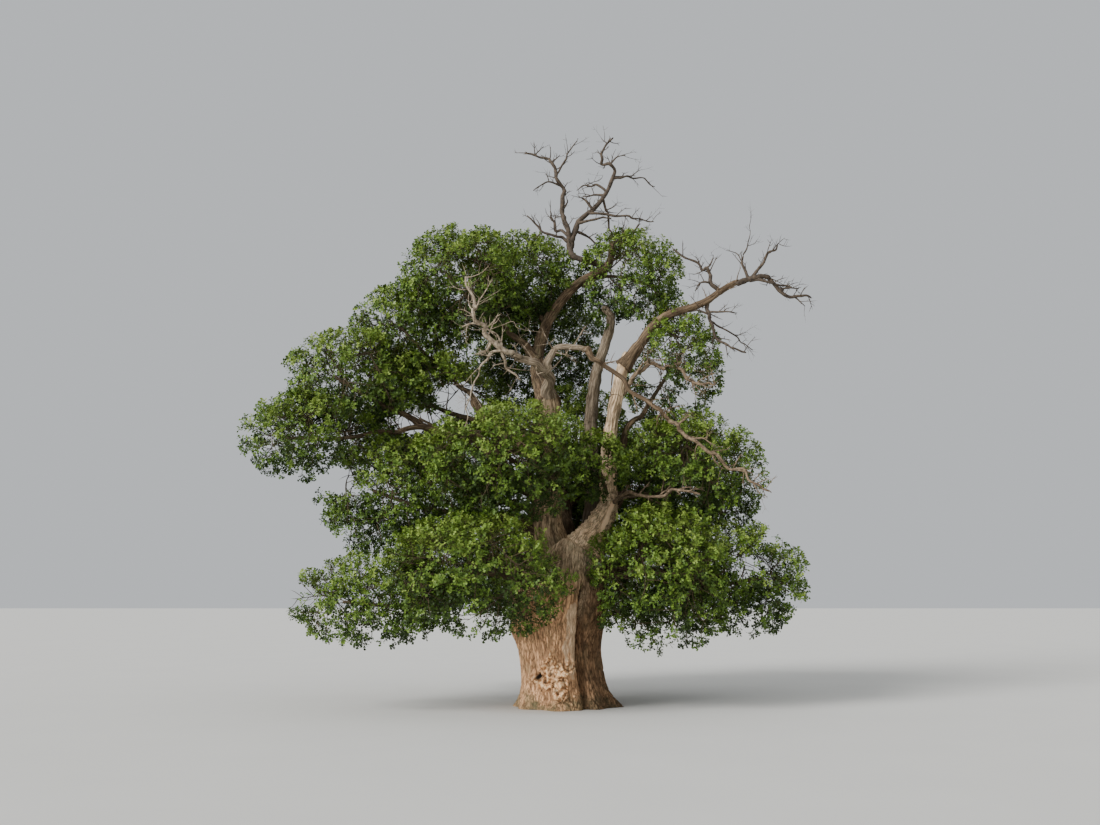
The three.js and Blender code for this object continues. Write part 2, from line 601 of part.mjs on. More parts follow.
// Grows one leaf mass from its foot: a stem, shoots to all sides of its space, and their side twigs. A
// shoot or twig that would leave the space or touch a neighbour or another leaf is skipped.
class LeafMass {
  constructor(name, mass, stem, stemRadius) {
    this.seed = seedOf(name);
    this.space = { middle: vector(mass.middle), half: vector(mass.half) };
    this.parts = [taperedLimb(stem, (share) => mix(stemRadius, STEM_TIP, share), 4, 3, 0)];
    this.branches = [{ line: stem, shares: [...STEM_SHARES], solid: this.parts[0] }];
    this.near = neighbours(this.parts[0].add(ballAround(this.space)));
  }

  luck(number) {
    return chance(this.seed, number);
  }

  // Tries a leaf at a few tilts until one fits, and keeps it. `stalk` holds the rings before its belly
  // and `parent` is the solid that it grows on, the only one that it may touch.
  fit(stalk, way, parent, number) {
    const neck = stalk[stalk.length - 1].place;
    const others = this.parts.filter((part) => part !== parent);
    const outward = neck.clone().sub(this.space.middle).divide(this.space.half).normalize();
    for (let attempt = 0; attempt < LEAF_TRIES; attempt++) {
      const luck = [1, 2, 3, 4, 5, 6, 7].map((part) => this.luck(number + part + 10 * attempt) - 0.5);
      const turn = vector(luck.slice(0, 3)).multiplyScalar(attempt * LEAF_TURN);
      const turned = way.clone().add(turn).normalize();
      const spin = vector(luck.slice(3, 6)).multiplyScalar(LEAF_SPIN);
      const face = outward.clone().add(vector(LEAF_TILT)).add(spin).normalize();
      const wanted = mix(...LEAF.length, luck[6] + 0.5);
      const length = Math.min(wanted, roomFrom(this.space, neck, turned)) * LEAF_SHRINK ** (attempt + 1);
      const leaf = leafSolid(stalk, neck, turned, face, length);
      if (inside(this.space, leaf) && !touches(leaf, this.near) && !touches(leaf, others)) {
        this.parts.push(leaf);
        return leaf;
      }
    }
    return null;
  }

  // The free place on the stem or on an earlier shoot that a new one leaves for its goal: near to it,
  // and where the turn is small.
  branchFor(goal) {
    const choices = this.branches.flatMap((branch) => branch.shares.map((share) => {
      const point = branch.line.getPoint(share);
      const toGoal = goal.clone().sub(point);
      const turn = toGoal.angleTo(branch.line.getTangent(share));
      return { branch, share, point, cost: toGoal.length() * (1 + turn) };
    }));
    return choices.reduce((best, choice) => (choice.cost < best.cost ? choice : best));
  }

  growShoot(index, count) {
    const { middle, half } = this.space;
    const number = SHOOT_NUMBERS * (index + 1);
    const aim = aimOf(index, count, Math.atan2(middle.y, middle.x));
    const reach = mix(...SHOOT_REACH, this.luck(number));
    const goal = aim.clone().multiply(half).multiplyScalar(reach).add(middle);
    const { branch, share, point } = this.branchFor(goal);
    const way = goal.clone().sub(point).normalize();
    const span = Math.max(SHOOT_LEAST, goal.distanceTo(point) - LEAF.length[0]);
    const line = new THREE.LineCurve3(point, point.clone().addScaledVector(way, span));
    const stalk = SHOOT_RADII.map((radius, end) => (
      { place: line.getPoint(end), width: radius, height: radius }
    ));
    const solid = this.fit(stalk, way, branch.solid, number);
    if (!solid) return;
    branch.shares.splice(branch.shares.indexOf(share), 1);
    this.branches.push({ line, shares: [...SHOOT_SHARES], solid, aim, number });
  }

  growSide({ line, aim, number, solid }, { share, hand }, order) {
    const start = number + SIDE_NUMBERS * (order + 1);
    const way = sideWay(line, share, hand, aim, this.luck(start));
    const root = { place: line.getPoint(share), width: 0, height: 0 };
    this.fit([root], way, solid, start + 2);
  }

  grow() {
    const { half } = this.space;
    const count = Math.round(SHOOT_DENSITY * (half.x * half.y * half.z * 1e-9) ** (2 / 3));
    for (let index = 0; index < count; index++) this.growShoot(index, count);
    this.branches.slice(1).forEach((shoot) => {
      SIDES.forEach((side, order) => this.growSide(shoot, side, order));
    });
    return wasm.Manifold.union(this.parts);
  }
}

// A whole leaf mass. Its stem carries on from the tip of its bough, or leaves the side of a limb.
function addLeafMass(name, mass) {
  const carrier = mass.bough ? lines[mass.bough] : lines[mass.from];
  const at = mass.bough ? BOUGH_END : mass.at;
  const middle = vector(mass.middle);
  const foot = carrier.getPoint(at);
  const inward = middle.clone().sub(foot);
  const axis = inward.clone().normalize();
  const deep = STEM_REACH / axis.clone().divide(vector(mass.half)).length();
  const start = mass.bough ? carrier.getTangent(at) : axis.clone().setZ(axis.z + STEM_LIFT).normalize();
  const bend = foot.clone().addScaledVector(start, inward.length() / 2);
  const stem = new THREE.QuadraticBezierCurve3(foot, bend, middle.addScaledVector(axis, deep));
  const grown = new LeafMass(name, mass, stem, mass.bough ? mass.radii[1] * STEM_FIT : mass.stem);
  const joined = grown.grow();
  const cut = neighbours(joined).reduce((solid, other) => solid.subtract(other), joined);
  const body = largestBody(cut);
  addNode(name, body, LEAVES);
  keep(body);
}

// A coarse ball over a space, to find what stands near it.
function ballAround(space) {
  const ball = new THREE.SphereGeometry(1, 8, 6).scale(...space.half.toArray());
  return solidOf(ball.translate(...space.middle.toArray()));
}

// The bough of a leaf mass: from its carrier, arching, to where it enters the space.
function addBough(mass) {
  const middle = vector(mass.middle);
  const foot = lines[mass.from].getPoint(mass.at);
  const back = foot.clone().sub(middle).normalize();
  const skin = ENTRY / back.clone().divide(vector(mass.half)).length();
  const tip = middle.clone().addScaledVector(back, skin);
  const halfWay = foot.clone().lerp(tip, 0.5);
  halfWay.z += mass.arch;
  const crook = BOUGH_CROOK * foot.distanceTo(tip);
  const limb = { ...mass, through: [halfWay.toArray()], tip: tip.toArray(), crook, steps: BOUGH_STEPS };
  addLimb(mass.bough, limb, BOUGH_SIDES, BARK);
}

addTrunk();
Object.entries(LIMBS).forEach(([name, limb]) => {
  const dead = name.startsWith("dead") || name.startsWith("stub") || name === "snag";
  const sides = limb.from === "trunk" ? STEM_SIDES : LIMB_SIDES;
  addLimb(name, limb, sides, dead ? DEAD_WOOD : BARK);
});
Object.entries(BARE).forEach(([name, mass]) => addBareMass(name, mass));
Object.values(MASSES).filter((mass) => mass.bough).forEach(addBough);
Object.entries(MASSES).forEach(([name, mass]) => addLeafMass(name, mass));

export default tree;
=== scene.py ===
"""A very old oak that has died back at the top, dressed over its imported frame.

The scene is laid out as an add-on and run as a script. Metres, +Z up, the origin in the flat cut at
ground level. Every mesh is worked out with numpy: limbs are rings carried along curves, and the leaf
masses grow by one seeded rule, from stem to shoot, side twig, twiglet and leaf.
"""
import itertools
import json

import bpy
import numpy as np
from bpy.props import FloatProperty, FloatVectorProperty, IntProperty, PointerProperty
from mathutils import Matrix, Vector

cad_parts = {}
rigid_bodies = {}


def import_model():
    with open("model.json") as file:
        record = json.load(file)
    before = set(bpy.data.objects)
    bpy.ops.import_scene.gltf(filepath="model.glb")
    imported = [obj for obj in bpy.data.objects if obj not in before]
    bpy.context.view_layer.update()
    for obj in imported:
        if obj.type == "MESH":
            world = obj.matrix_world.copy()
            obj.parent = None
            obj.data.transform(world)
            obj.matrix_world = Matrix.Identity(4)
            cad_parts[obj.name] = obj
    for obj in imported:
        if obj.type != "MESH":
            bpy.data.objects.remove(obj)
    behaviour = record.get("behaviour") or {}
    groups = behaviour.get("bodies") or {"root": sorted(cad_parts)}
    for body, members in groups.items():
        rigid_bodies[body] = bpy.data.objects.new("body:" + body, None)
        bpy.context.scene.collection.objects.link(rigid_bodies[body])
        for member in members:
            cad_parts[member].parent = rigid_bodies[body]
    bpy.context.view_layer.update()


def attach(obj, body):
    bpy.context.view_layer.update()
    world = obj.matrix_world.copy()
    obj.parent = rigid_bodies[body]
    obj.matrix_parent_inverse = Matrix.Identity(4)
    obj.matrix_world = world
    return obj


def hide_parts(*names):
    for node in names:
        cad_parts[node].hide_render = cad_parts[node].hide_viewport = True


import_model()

bl_info = {
    "name": "Ancient Oak",
    "version": (1, 0, 0),
    "blender": (4, 5, 0),
    "location": "3D View > Sidebar > Oak",
    "description": "Builds a very old oak with a dead top, and a plain stage around it",
    "category": "Add Mesh",
}

BODY = "root"
SEEDS = 997
NOISE_SEEDS = {"lumps": 5, "knobs": 8, "bark": 11, "ragged": 21, "strip": 31, "folds": 33, "sky": 41}
GOLDEN_ANGLE = 2.399963
UP = np.array((0.0, 0.0, 1.0))

# Trunk: middle line, girth, root flare, the deep front cleft, the burr on its left and the dome
TRUNK_LINE = [(0.1, 0, 0), (-0.04, 0, 1.5), (0.02, 0.02, 2.8), (0.22, 0.06, 4.37)]
TRUNK_TOP = TRUNK_LINE[-1][2]
TRUNK_RADIUS = 1.05
TRUNK_COLUMNS = 450
TRUNK_ROWS = 150
FOOT_SPACING = 0.75
FLARE = {"radius": 0.12, "height": 0.35}
BULGE = {"radius": 0.19, "middle": 2.7, "height": 0.9}
DOME = {"start": 3.0, "height": 1.41}
CLEFT = {"angle": -59, "width": 7, "depth": 0.27, "full": 2.2, "end": 3.4}
GROOVE = {
    "angle": -61, "width": 2.4, "depth": 0.2, "low": 1.1, "high": 2.9, "run_in": 0.3, "run_out": 0.4,
    "winding": 2.5,
}
# Painted shade in the narrow groove and the knot hole: how strongly their masks darken the bark
HOLLOW_SHADE = 1.3
LEAST_RADIUS = 0.05
BURR = {"angle": 184, "width": 24, "depth": 0.15, "middle": 2.0, "height": 0.38}
TOES = {"angles": [-6, -46, -98, -142, 176, 130, 84, 38], "width": 15, "height": 0.42}
TOE_REACH = {"least": 0.15, "more": 0.11, "longest": 0.36}
FLUTES = {"depth": 0.034, "count": 5, "twist": 1.6}

# Furrows of the bark: a wide and a narrow kind, each as the noise that is its floor and its edge, and
# how much painted shade darkens them
FURROW_WIDE = (0.02, 0.3)
FURROW_NARROW = (0.02, 0.34)
NARROW_FURROWS = {"size": 0.55, "share": 0.65}
FURROW_SHADE = 0.52

# Places on the trunk that have lost their bark, as angle, half width in degrees, height, half height
PALE_STRIP = (-75, 10, 1.55, 1.25)
BURR_PATCH = (-98, 29, 0.78, 0.56)
RAGGED = {"size": 0.26, "fine": 0.5, "finer": 3, "strip": 0.4, "burr": 0.62}
KNOT_HOLE = {"angle": -123, "width": 4.5, "height": 0.82, "size": 0.1, "depth": 0.16}
PATCH_EDGE = (0.8, 1.06)
# The burr's lumps; `crevice` and `shade` give the painted shade between them
BURR_LUMPS = {
    "size": 0.15, "fine": 0.6, "finer": 2.5, "height": 0.15, "crevice": (0.03, 0.24), "shade": 0.75,
}
# Painted shade on the trunk's right side: how dark it is, and the angles over which it comes in and goes
SHADY_SIDE = {"share": 0.58, "start": (-63, -56), "end": (20, 60)}
MOSS_HEIGHTS = (0.1, 0.42)
MOSS_WANDER = 0.35
GREY_FROM = (2.7, 3.7)
TRUNK_LUMPS = {"size": 0.5, "height": 0.035}
# The slot between the stems: a dent, darkened with painted shade
CROTCH_SLOT = {"place": (0.13, -0.55, 4.3), "size": (0.13, 0.4, 0.55), "width": 0.8, "depth": 0.175}

# The right stem's foot: how far its pale bark spreads over the trunk, the folds across it, and the
# strip without bark that runs down its front, as (height, x, half width)
PALE_REACH = (0.05, 0.4)
FOLDS = {
    "way": (0.57, 0, 0.82), "spacing": 0.125, "depth": 0.022, "top": (5.0, 5.3), "furrows": 0.45,
    "bent": 1.6, "bends": 0.3,
}
STEM_STRIP = [
    (3.55, 0.74, 0.05), (4.05, 0.96, 0.07), (4.7, 1.17, 0.07), (5.1, 1.34, 0.09), (5.3, 1.42, 0.06),
]
STRIP_EDGE = {"wander": 0.35, "size": 0.16, "fade": (0.75, 1.15), "below": 0.15, "above": 0.1}

# Limbs: each springs from the middle of another one, passes through a few places and tapers
LIMBS = {
    "stem_left": {
        "from": "trunk", "at": 0.72, "tip": (-0.34, 0, 8.56), "radii": (0.48, 0.26), "crook": 0.03,
        "through": [(-0.35, 0, 4.61), (-0.3, 0, 5.96), (-0.22, 0, 7.06)],
    },
    "stem_right": {
        "from": "trunk", "at": 0.7, "tip": (1.84, 0, 9.54), "radii": (0.3, 0.165), "crook": 0.025,
        "collar": {"swell": 2, "length": 0.18},
        "through": [(0.81, 0, 4.34), (1.27, 0, 5.18), (1.33, 0, 6), (1.4, 0, 7.37)],
    },
    "stem_back": {
        "from": "trunk", "at": 0.74, "tip": (-0.65, 3.15, 9.2), "radii": (0.42, 0.15), "crook": 0.06,
        "through": [(0.1, 1.5, 5), (-0.3, 2.3, 7)],
    },
    "snag": {
        "from": "trunk", "at": 0.8, "tip": (1.3, 1.5, 11.27), "radii": (0.27, 0.1), "crook": 0.035,
        "through": [(0.86, 1.15, 4.96), (0.91, 1.5, 7.46), (1.13, 1.5, 9.35), (1.49, 1.5, 10.75)],
    },
    "leader": {
        "from": "stem_left", "at": 0.92, "tip": (1.55, 1, 13.1), "radii": (0.215, 0.085), "crook": 0.03,
        "through": [(-0.65, 0.75, 9.25), (-0.4, 1, 10.57), (0.49, 1, 11.7), (1.39, 1, 12.37)],
    },
    "dead_right": {
        "from": "stem_right", "at": 0.96, "tip": (5.02, 0, 11.58), "radii": (0.15, 0.08), "crook": 0.035,
        "through": [(2.77, 0, 10.37), (4.05, 0, 11)],
    },
    "dead_left": {
        "from": "stem_left", "at": 0.94, "tip": (-1.23, -1.8, 9.06), "radii": (0.15, 0.075),
        "crook": 0.04, "through": [(-0.38, -1, 8.73), (-0.9, -1.55, 8.93)],
    },
    "dead_cross_inner": {
        "from": "dead_left", "at": 0.36, "tip": (0.76, -1.4, 9.24), "radii": (0.095, 0.072),
        "crook": 0.02, "through": [(-0.06, -1.28, 9.3)],
    },
    "dead_cross_outer": {
        "from": "dead_cross_inner", "at": 0.96, "tip": (2.85, -1.8, 7.27), "radii": (0.07, 0.05),
        "crook": 0.045, "through": [(1.15, -1.4, 8.78), (2.33, -1.6, 7.83)],
    },
    "stub_left": {
        "from": "stem_left", "at": 0.56, "tip": (-2.46, 0.45, 8.32), "radii": (0.2, 0.12), "crook": 0.045,
        "through": [(-1.25, 0.3, 7.15), (-1.95, 0.48, 7.65)],
    },
    "stub_low": {
        "from": "stem_left", "at": 0.3, "tip": (-3.65, -0.5, 6.05), "radii": (0.12, 0.045), "crook": 0.06,
        "through": [(-1.5, -0.2, 5.5), (-2.7, -0.45, 6)],
    },
}
LIVE_LIMBS = ["stem_left", "stem_right", "stem_back", "leader"]
# Dead limbs that take the darker brown copy of the dead wood, which is painted shade
SHADED_DEAD = ["dead_right", "dead_cross_outer", "stub_left", "stub_low"]
LIMB_WAVES = 1.7
COLLAR = {"swell": 0.4, "length": 0.11}
FILLET = 0.4
GAP_SAMPLES = 60
FAR = 9.0
LIMB_STEP = {"around": 0.028, "along": 0.042, "girth_at": 0.3}
LIMB_COLUMNS = (14, 110)
LIMB_ROWS = (16, 170)
TIP_ROUNDING = 0.9
LIMB_LUMPS = {"smallest": 0.12, "size": 0.8, "height": 0.12}
FULL_LIMB = {"radius": 0.4, "at": 0.1}
LEAST_LIMB = 0.01
THIN_BARK = {"spacing": 0.6, "depth": 0.25, "under": 0.45}
BARE_GROOVES = {"stretch": (1, 1, 0.12), "size": 0.05, "height": 0.5, "middle": 0.4, "depth": 0.06}

# Bare crown: the stem of each dead mass, then its twigs, written as
# (twig it grows on, share along that one, heading, length, curl). Heading 0 is up and 90 is to the
# right, in degrees seen from the front, and curl is how far the heading turns by the twig's tip.
BARE = {
    "bare_top_left": {
        "from": "leader", "at": 0.78, "tip": (-1.01, 1, 15.83), "radii": (0.085, 0.026),
        "through": [
            (0.45, 1, 12.68), (0.205, 1, 13.35), (0.14, 1, 14.33), (-0.12, 1, 15.15), (-0.33, 1, 15.6),
        ],
        "twigs": [
            (0, 0.28, -75, 1.5, 30), (0, 0.31, -48, 1.45, 40), (2, 0.55, -2, 0.38, 20),
            (0, 0.57, -62, 1.15, -70), (0, 0.66, 36, 1.3, -12), (0, 0.78, 40, 0.38, 10),
            (0, 0.93, 5, 0.48, 50), (5, 0.5, 70, 0.3, -30), (4, 0.5, -15, 0.3, -20),
            (1, 0.6, -10, 0.38, -30), (0, 0.47, 45, 0.42, -30),
        ],
    },
    "bare_top_right": {
        "from": "bare_top_left", "at": 0.22, "tip": (1.61, 1, 16.3), "radii": (0.075, 0.026),
        "through": [(0.64, 1, 13.71), (1.23, 1, 14.36), (1.6, 1, 15.25), (1.23, 1, 15.68)],
        "twigs": [
            (0, 0.12, 100, 0.8, 30), (0, 0.19, 92, 1.05, -12), (0, 0.26, 92, 2, 12),
            (3, 0.9, 55, 0.3, -10), (0, 0.42, 155, 1.8, 42), (5, 0.2, 80, 0.42, -35),
            (0, 0.45, -38, 1.3, -95), (7, 0.7, 80, 0.75, -50), (0, 0.43, -82, 0.68, -20),
            (0, 0.52, 70, 1.5, 42), (10, 0.5, 40, 0.42, 30), (0, 0.66, 52, 0.56, 25),
            (0, 0.92, -40, 0.28, 10), (5, 0.62, 215, 0.42, -20), (0, 0.34, -30, 0.52, -20),
        ],
    },
    "bare_top_low": {
        "from": "leader", "at": 0.97, "tip": (2.38, 1, 13.62), "radii": (0.05, 0.024),
        "through": [(1.95, 1, 13.26)],
        "twigs": [(0, 0.4, 5, 0.44, 15), (0, 0.7, 95, 0.48, -20), (0, 0.15, -35, 0.42, 30)],
    },
    "bare_right_end": {
        "from": "dead_right", "at": 0.97, "tip": (7.05, 0, 11.09), "radii": (0.076, 0.024),
        "through": [(5.75, 0, 11.69), (6.45, 0, 11.2)],
        "twigs": [
            (0, 0.15, -38, 0.85, 55), (1, 1, 38, 0.9, -40), (2, 1, -15, 0.46, 40),
            (1, 0.7, -15, 0.68, -65), (0, 0.17, 36, 1.35, 5), (5, 0.6, 85, 0.42, -75),
            (0, 0.14, 118, 1.35, -35), (0, 0.55, 70, 0.6, 35), (0, 0.75, 120, 0.42, 20),
            (2, 0.5, 75, 0.38, -40), (7, 0.6, 140, 0.32, -20),
        ],
    },
    "bare_right_rise": {
        "from": "dead_right", "at": 0.8, "tip": (3.23, 0, 12.52), "radii": (0.052, 0.024),
        "through": [(4.12, 0, 11.79), (3.92, 0, 12.06)],
        "twigs": [
            (0, 0.45, 58, 0.6, -60), (0, 0.16, -68, 0.8, -95), (0, 0.7, 5, 0.36, -40),
            (2, 0.55, -150, 0.3, 20),
        ],
    },
    "bare_right_drop": {
        "from": "dead_right", "at": 0.7, "tip": (5.15, -0.1, 9.5), "radii": (0.052, 0.024),
        "through": [(4.11, 0, 10.68), (4.22, 0, 10.35), (4.56, -0.1, 9.65)],
        "twigs": [
            (0, 0.24, 78, 0.9, 25), (0, 0.26, -70, 0.78, -40), (0, 0.42, 104, 1.6, 28),
            (3, 0.5, 60, 0.38, 20), (0, 0.62, 200, 0.42, -30), (3, 0.75, 150, 0.3, -10),
            (1, 0.5, 30, 0.3, 40),
        ],
    },
    "bare_right_arm": {
        "from": "stem_right", "at": 0.87, "tip": (4.22, -0.6, 8.5), "radii": (0.062, 0.024),
        "through": [(2.37, -0.2, 9.04), (3.12, -0.4, 8.97), (3.76, -0.6, 8.54)],
        "twigs": [
            (0, 0.13, 36, 0.85, 10), (1, 0.95, 96, 2, 16), (2, 0.4, 60, 0.36, 30),
            (2, 0.7, 140, 0.38, -20), (0, 0.5, 60, 0.48, 40), (0, 0.72, 150, 0.42, -40),
        ],
    },
    "bare_low_right": {
        "from": "stem_right", "at": 0.42, "tip": (3.59, -1.5, 5.44), "radii": (0.056, 0.024),
        "through": [(1.7, -0.7, 5.45), (2.66, -1.3, 5.48)],
        "twigs": [
            (0, 0.22, 68, 1.05, 25), (0, 0.5, 116, 1, 8), (0, 0.62, 28, 0.52, 70), (0, 0.8, 70, 0.38, 20),
        ],
    },
    "bare_cross": {
        "from": "dead_cross_outer", "at": 0.97, "tip": (5.32, -2, 5.44), "radii": (0.048, 0.022),
        "through": [(3.49, -1.9, 6.78), (4.55, -2, 5.98)],
        "twigs": [
            (0, 0.3, 85, 0.7, 45), (0, 0.45, 150, 0.6, -30), (1, 0.6, 20, 0.3, -30),
            (0, 0.62, 80, 0.62, 50), (0, 0.8, 165, 0.4, -30), (0, 0.12, 30, 0.42, 30),
        ],
    },
    "bare_left": {
        "from": "dead_left", "at": 0.96, "tip": (-2.45, -2.3, 10.99), "radii": (0.068, 0.024),
        "through": [(-1.74, -2.1, 9.34), (-2.12, -2.3, 9.78), (-2.26, -2.3, 10.3)],
        "twigs": [
            (0, 0.16, 8, 0.48, -45), (1, 1, -55, 0.48, -30), (2, 0.5, 70, 1.5, 45),
            (0, 0.46, -92, 0.6, -15), (0, 0.24, -138, 0.64, 20), (0, 0.13, -105, 1.05, -60),
            (6, 1, -172, 1.9, 10), (7, 0.4, -140, 0.36, -20), (0, 0.15, 172, 1.1, -45),
            (0, 0.7, 40, 0.36, -40), (7, 0.75, 160, 0.38, 20), (0, 0.85, -50, 0.3, 30),
        ],
    },
}
TWIG_SHARE = 0.64
TWIG_TAPER = 0.45
TWIG_LEAN = 40
# Bare masses whose twigs take the brown copy of the dead wood; all others but bare_left take the dark one.
# Both copies are painted shade
SHADED_BROWN_TWIGS = ["bare_cross", "bare_low_right", "bare_right_arm"]
LONG_SPURRED = ["bare_left", "bare_right_arm"]

# Spurs: the finer twigs that every bare stem and twig carries, and longer, curlier ones
SPURS = {
    "per_metre": 3.6, "length": (0.16, 0.6), "angle": (35, 85), "radius": 0.019, "again": 2, "curl": 1.2,
}
LONG_SPURS = {
    "per_metre": 3.4, "length": (0.25, 0.95), "angle": (40, 95), "radius": 0.022, "again": 3, "curl": 1.7,
}
SPURRED = {
    "dead_left": LONG_SPURS, "dead_cross_inner": LONG_SPURS, "dead_cross_outer": LONG_SPURS,
    "dead_right": SPURS, "stub_low": SPURS,
}
SPUR_START = 0.22
SPUR_TOP = 16.65
SHORTEST_SPUR = 0.1
SPUR_SHARES = {"parent": 0.6, "tip": 0.35, "finer": 0.55, "finer_tip": 0.25}
FINER_SPURS = {"from": (0.3, 0.9), "length": 0.5}
SPUR_LIFT = 0.2
FINER_LIFT = 0.15

# Bare limbs and twigs: how their lines wander and swell, their rings and the ends of the thick ones
GNARLED = ["dead_left", "dead_cross_inner", "dead_cross_outer", "stub_low"]
GNARL = {"sway": 0.11, "size": 0.27, "full": 1.5, "knots": 0.3, "knots_in": 0.3, "stout": 1.14}
BARE_RINGS = {"step": 0.07, "rows": (7, 60), "thick": 0.03, "columns": (6, 8), "end": 0.85}
END_ROUND = 0.95
# Heights over which the painted shade on the snag's lower part fades out
SNAG_SHADE = (6.2, 8.0)

# Leaf masses: middle and half sizes of the space each one keeps to. Where a bough is named, that bough
# leaves limb `from` at share `at`, arches up and ends in the space. Otherwise the mass's own stem does.
# The sprays are small ones beside a mass, whose node they stand in for too.
MASSES = {
    "low_left_inner": {
        "middle": (-2.2, -2.15, 3.3), "half": (2.6, 2.15, 1.6),
        "from": "trunk", "at": 0.66, "stem": 0.15,
    },
    "low_left_outer": {
        "middle": (-4.8, -1.1, 2.75), "half": (2.25, 2, 1.2),
        "bough": "bough_low_left", "from": "trunk", "at": 0.7, "arch": 0.9, "radii": (0.23, 0.08),
    },
    "left_lower": {
        "middle": (-4.35, 0.1, 5.5), "half": (2.3, 2.1, 1.75),
        "bough": "bough_left_lower", "from": "stem_left", "at": 0.22, "arch": 0.25, "radii": (0.22, 0.085),
    },
    "left_upper": {
        "middle": (-5.7, 0, 8.55), "half": (2, 2.05, 1.6),
        "bough": "bough_left_upper", "from": "stem_left", "at": 0.4, "arch": 0.3, "radii": (0.25, 0.075),
    },
    "left_tip": {
        "middle": (-6.7, -0.7, 7.05), "half": (1.85, 1.8, 1.2),
        "bough": "bough_left_tip", "from": "bough_left_upper", "at": 0.62, "arch": 0.15,
        "radii": (0.095, 0.055),
    },
    "left_inner": {
        "middle": (-3.87, 1.3, 8.4), "half": (2.05, 1.95, 1.8),
        "bough": "bough_left_inner", "from": "stem_left", "at": 0.68, "arch": 0.25, "radii": (0.165, 0.08),
    },
    "shoulder_left": {
        "middle": (-4.3, 1, 10.25), "half": (1.75, 1.9, 1.5),
        "bough": "bough_shoulder", "from": "bough_left_inner", "at": 0.7, "arch": 0.15,
        "radii": (0.08, 0.05),
    },
    "top_left": {
        "middle": (-2.75, 0.4, 11.45), "half": (1.95, 1.95, 1.85),
        "bough": "bough_top_left", "from": "leader", "at": 0.24, "arch": 0.1, "radii": (0.125, 0.07),
    },
    "top_middle": {
        "middle": (-1.05, 2, 11.9), "half": (1.85, 1.8, 1.8),
        "bough": "bough_top_middle", "from": "leader", "at": 0.4, "arch": 0, "radii": (0.095, 0.06),
    },
    "top_right": {
        "middle": (2.1, 1.35, 11.9), "half": (1.6, 1.7, 1.7),
        "bough": "bough_top_right", "from": "leader", "at": 0.64, "arch": -0.12, "radii": (0.085, 0.05),
    },
    "centre_front": {
        "middle": (-1.35, -1.9, 6.25), "half": (2.35, 1.85, 1.6),
        "from": "stem_left", "at": 0.4, "stem": 0.12,
    },
    "centre_back": {
        "middle": (0.5, 2.8, 6.9), "half": (1.8, 1.6, 2.3),
        "from": "stem_back", "at": 0.42, "stem": 0.1,
    },
    "right_upper": {
        "middle": (3.2, 0.9, 9.25), "half": (1.45, 1.75, 1.95),
        "bough": "bough_right_upper", "from": "stem_right", "at": 0.66, "arch": 0.1, "radii": (0.12, 0.06),
    },
    "right_middle": {
        "middle": (3.55, 0.5, 6.15), "half": (2.2, 2, 1.85),
        "bough": "bough_right_middle", "from": "stem_right", "at": 0.4, "arch": 0.15,
        "radii": (0.17, 0.075),
    },
    "low_right_inner": {
        "middle": (2.6, -1, 3.3), "half": (2.1, 1.95, 1.95),
        "from": "trunk", "at": 0.7, "stem": 0.13,
    },
    "low_right_outer": {
        "middle": (4.75, 0.2, 3.3), "half": (1.95, 2, 1.6),
        "bough": "bough_low_right", "from": "trunk", "at": 0.72, "arch": 0.5, "radii": (0.2, 0.075),
    },
    "rear_left": {
        "middle": (-3.7, 4.2, 8.1), "half": (2.8, 2.3, 2.3),
        "bough": "bough_rear_left", "from": "stem_back", "at": 0.58, "arch": 0.15, "radii": (0.17, 0.07),
    },
    "rear_right": {
        "middle": (3.2, 4.3, 6.3), "half": (2.6, 2.15, 2.15),
        "bough": "bough_rear_right", "from": "stem_back", "at": 0.4, "arch": 0.2, "radii": (0.17, 0.07),
    },
    "rear_low_left": {
        "middle": (-2.5, 3.9, 3.9), "half": (2.8, 2.15, 1.65),
        "bough": "bough_rear_low_left", "from": "trunk", "at": 0.7, "arch": 0.4, "radii": (0.19, 0.075),
    },
    "rear_low_right": {
        "middle": (2.3, 3.9, 3.5), "half": (2.5, 2.05, 1.55),
        "bough": "bough_rear_low_right", "from": "trunk", "at": 0.72, "arch": 0.4, "radii": (0.18, 0.075),
    },
    "rear_top": {
        "middle": (-0.7, 4.1, 10.5), "half": (2.3, 2.05, 2.1),
        "from": "stem_back", "at": 0.97, "stem": 0.11,
    },
}
SPRAYS = {
    "fork_spray": {
        "middle": (0.95, -1.25, 6.2), "half": (0.85, 0.75, 0.95),
        "from": "stem_right", "at": 0.45, "stem": 0.05, "node": "centre_front",
    },
    "crotch_spray": {
        "middle": (0.5, 2.75, 5.35), "half": (1.1, 0.9, 0.8),
        "from": "stem_back", "at": 0.34, "stem": 0.05, "node": "centre_back", "dense": 2.2,
    },
    "inner_spray": {
        "middle": (-1.85, -0.4, 5.45), "half": (0.9, 0.7, 0.9),
        "from": "stem_left", "at": 0.3, "stem": 0.05, "node": "centre_front", "dense": 1.4,
    },
}
BOUGH_CROOK = 0.03
BOUGH_END = 0.98
ENTRY = 0.74

# How a leaf mass grows, from the stem to its shoots
LOWEST_AIM = -0.92
STEM_LIFT = 0.35
STEM_REACH = 0.35
STEM_TIP = 0.04
STEM_RINGS = 14
STEM_COLUMNS = 10
STEM_SHARES = [0.2, 0.3, 0.4, 0.5, 0.58, 0.66, 0.74, 0.82, 0.9, 0.98]
SHOOT_SHARES = [0.25, 0.5]
SHOOT_REACH = (0.62, 0.88)
SHOOT_TURN = 1.6
SHOOT_TAPER = {"per_metre": 0.014, "least": 0.008, "most": 0.03, "tip": 0.3}

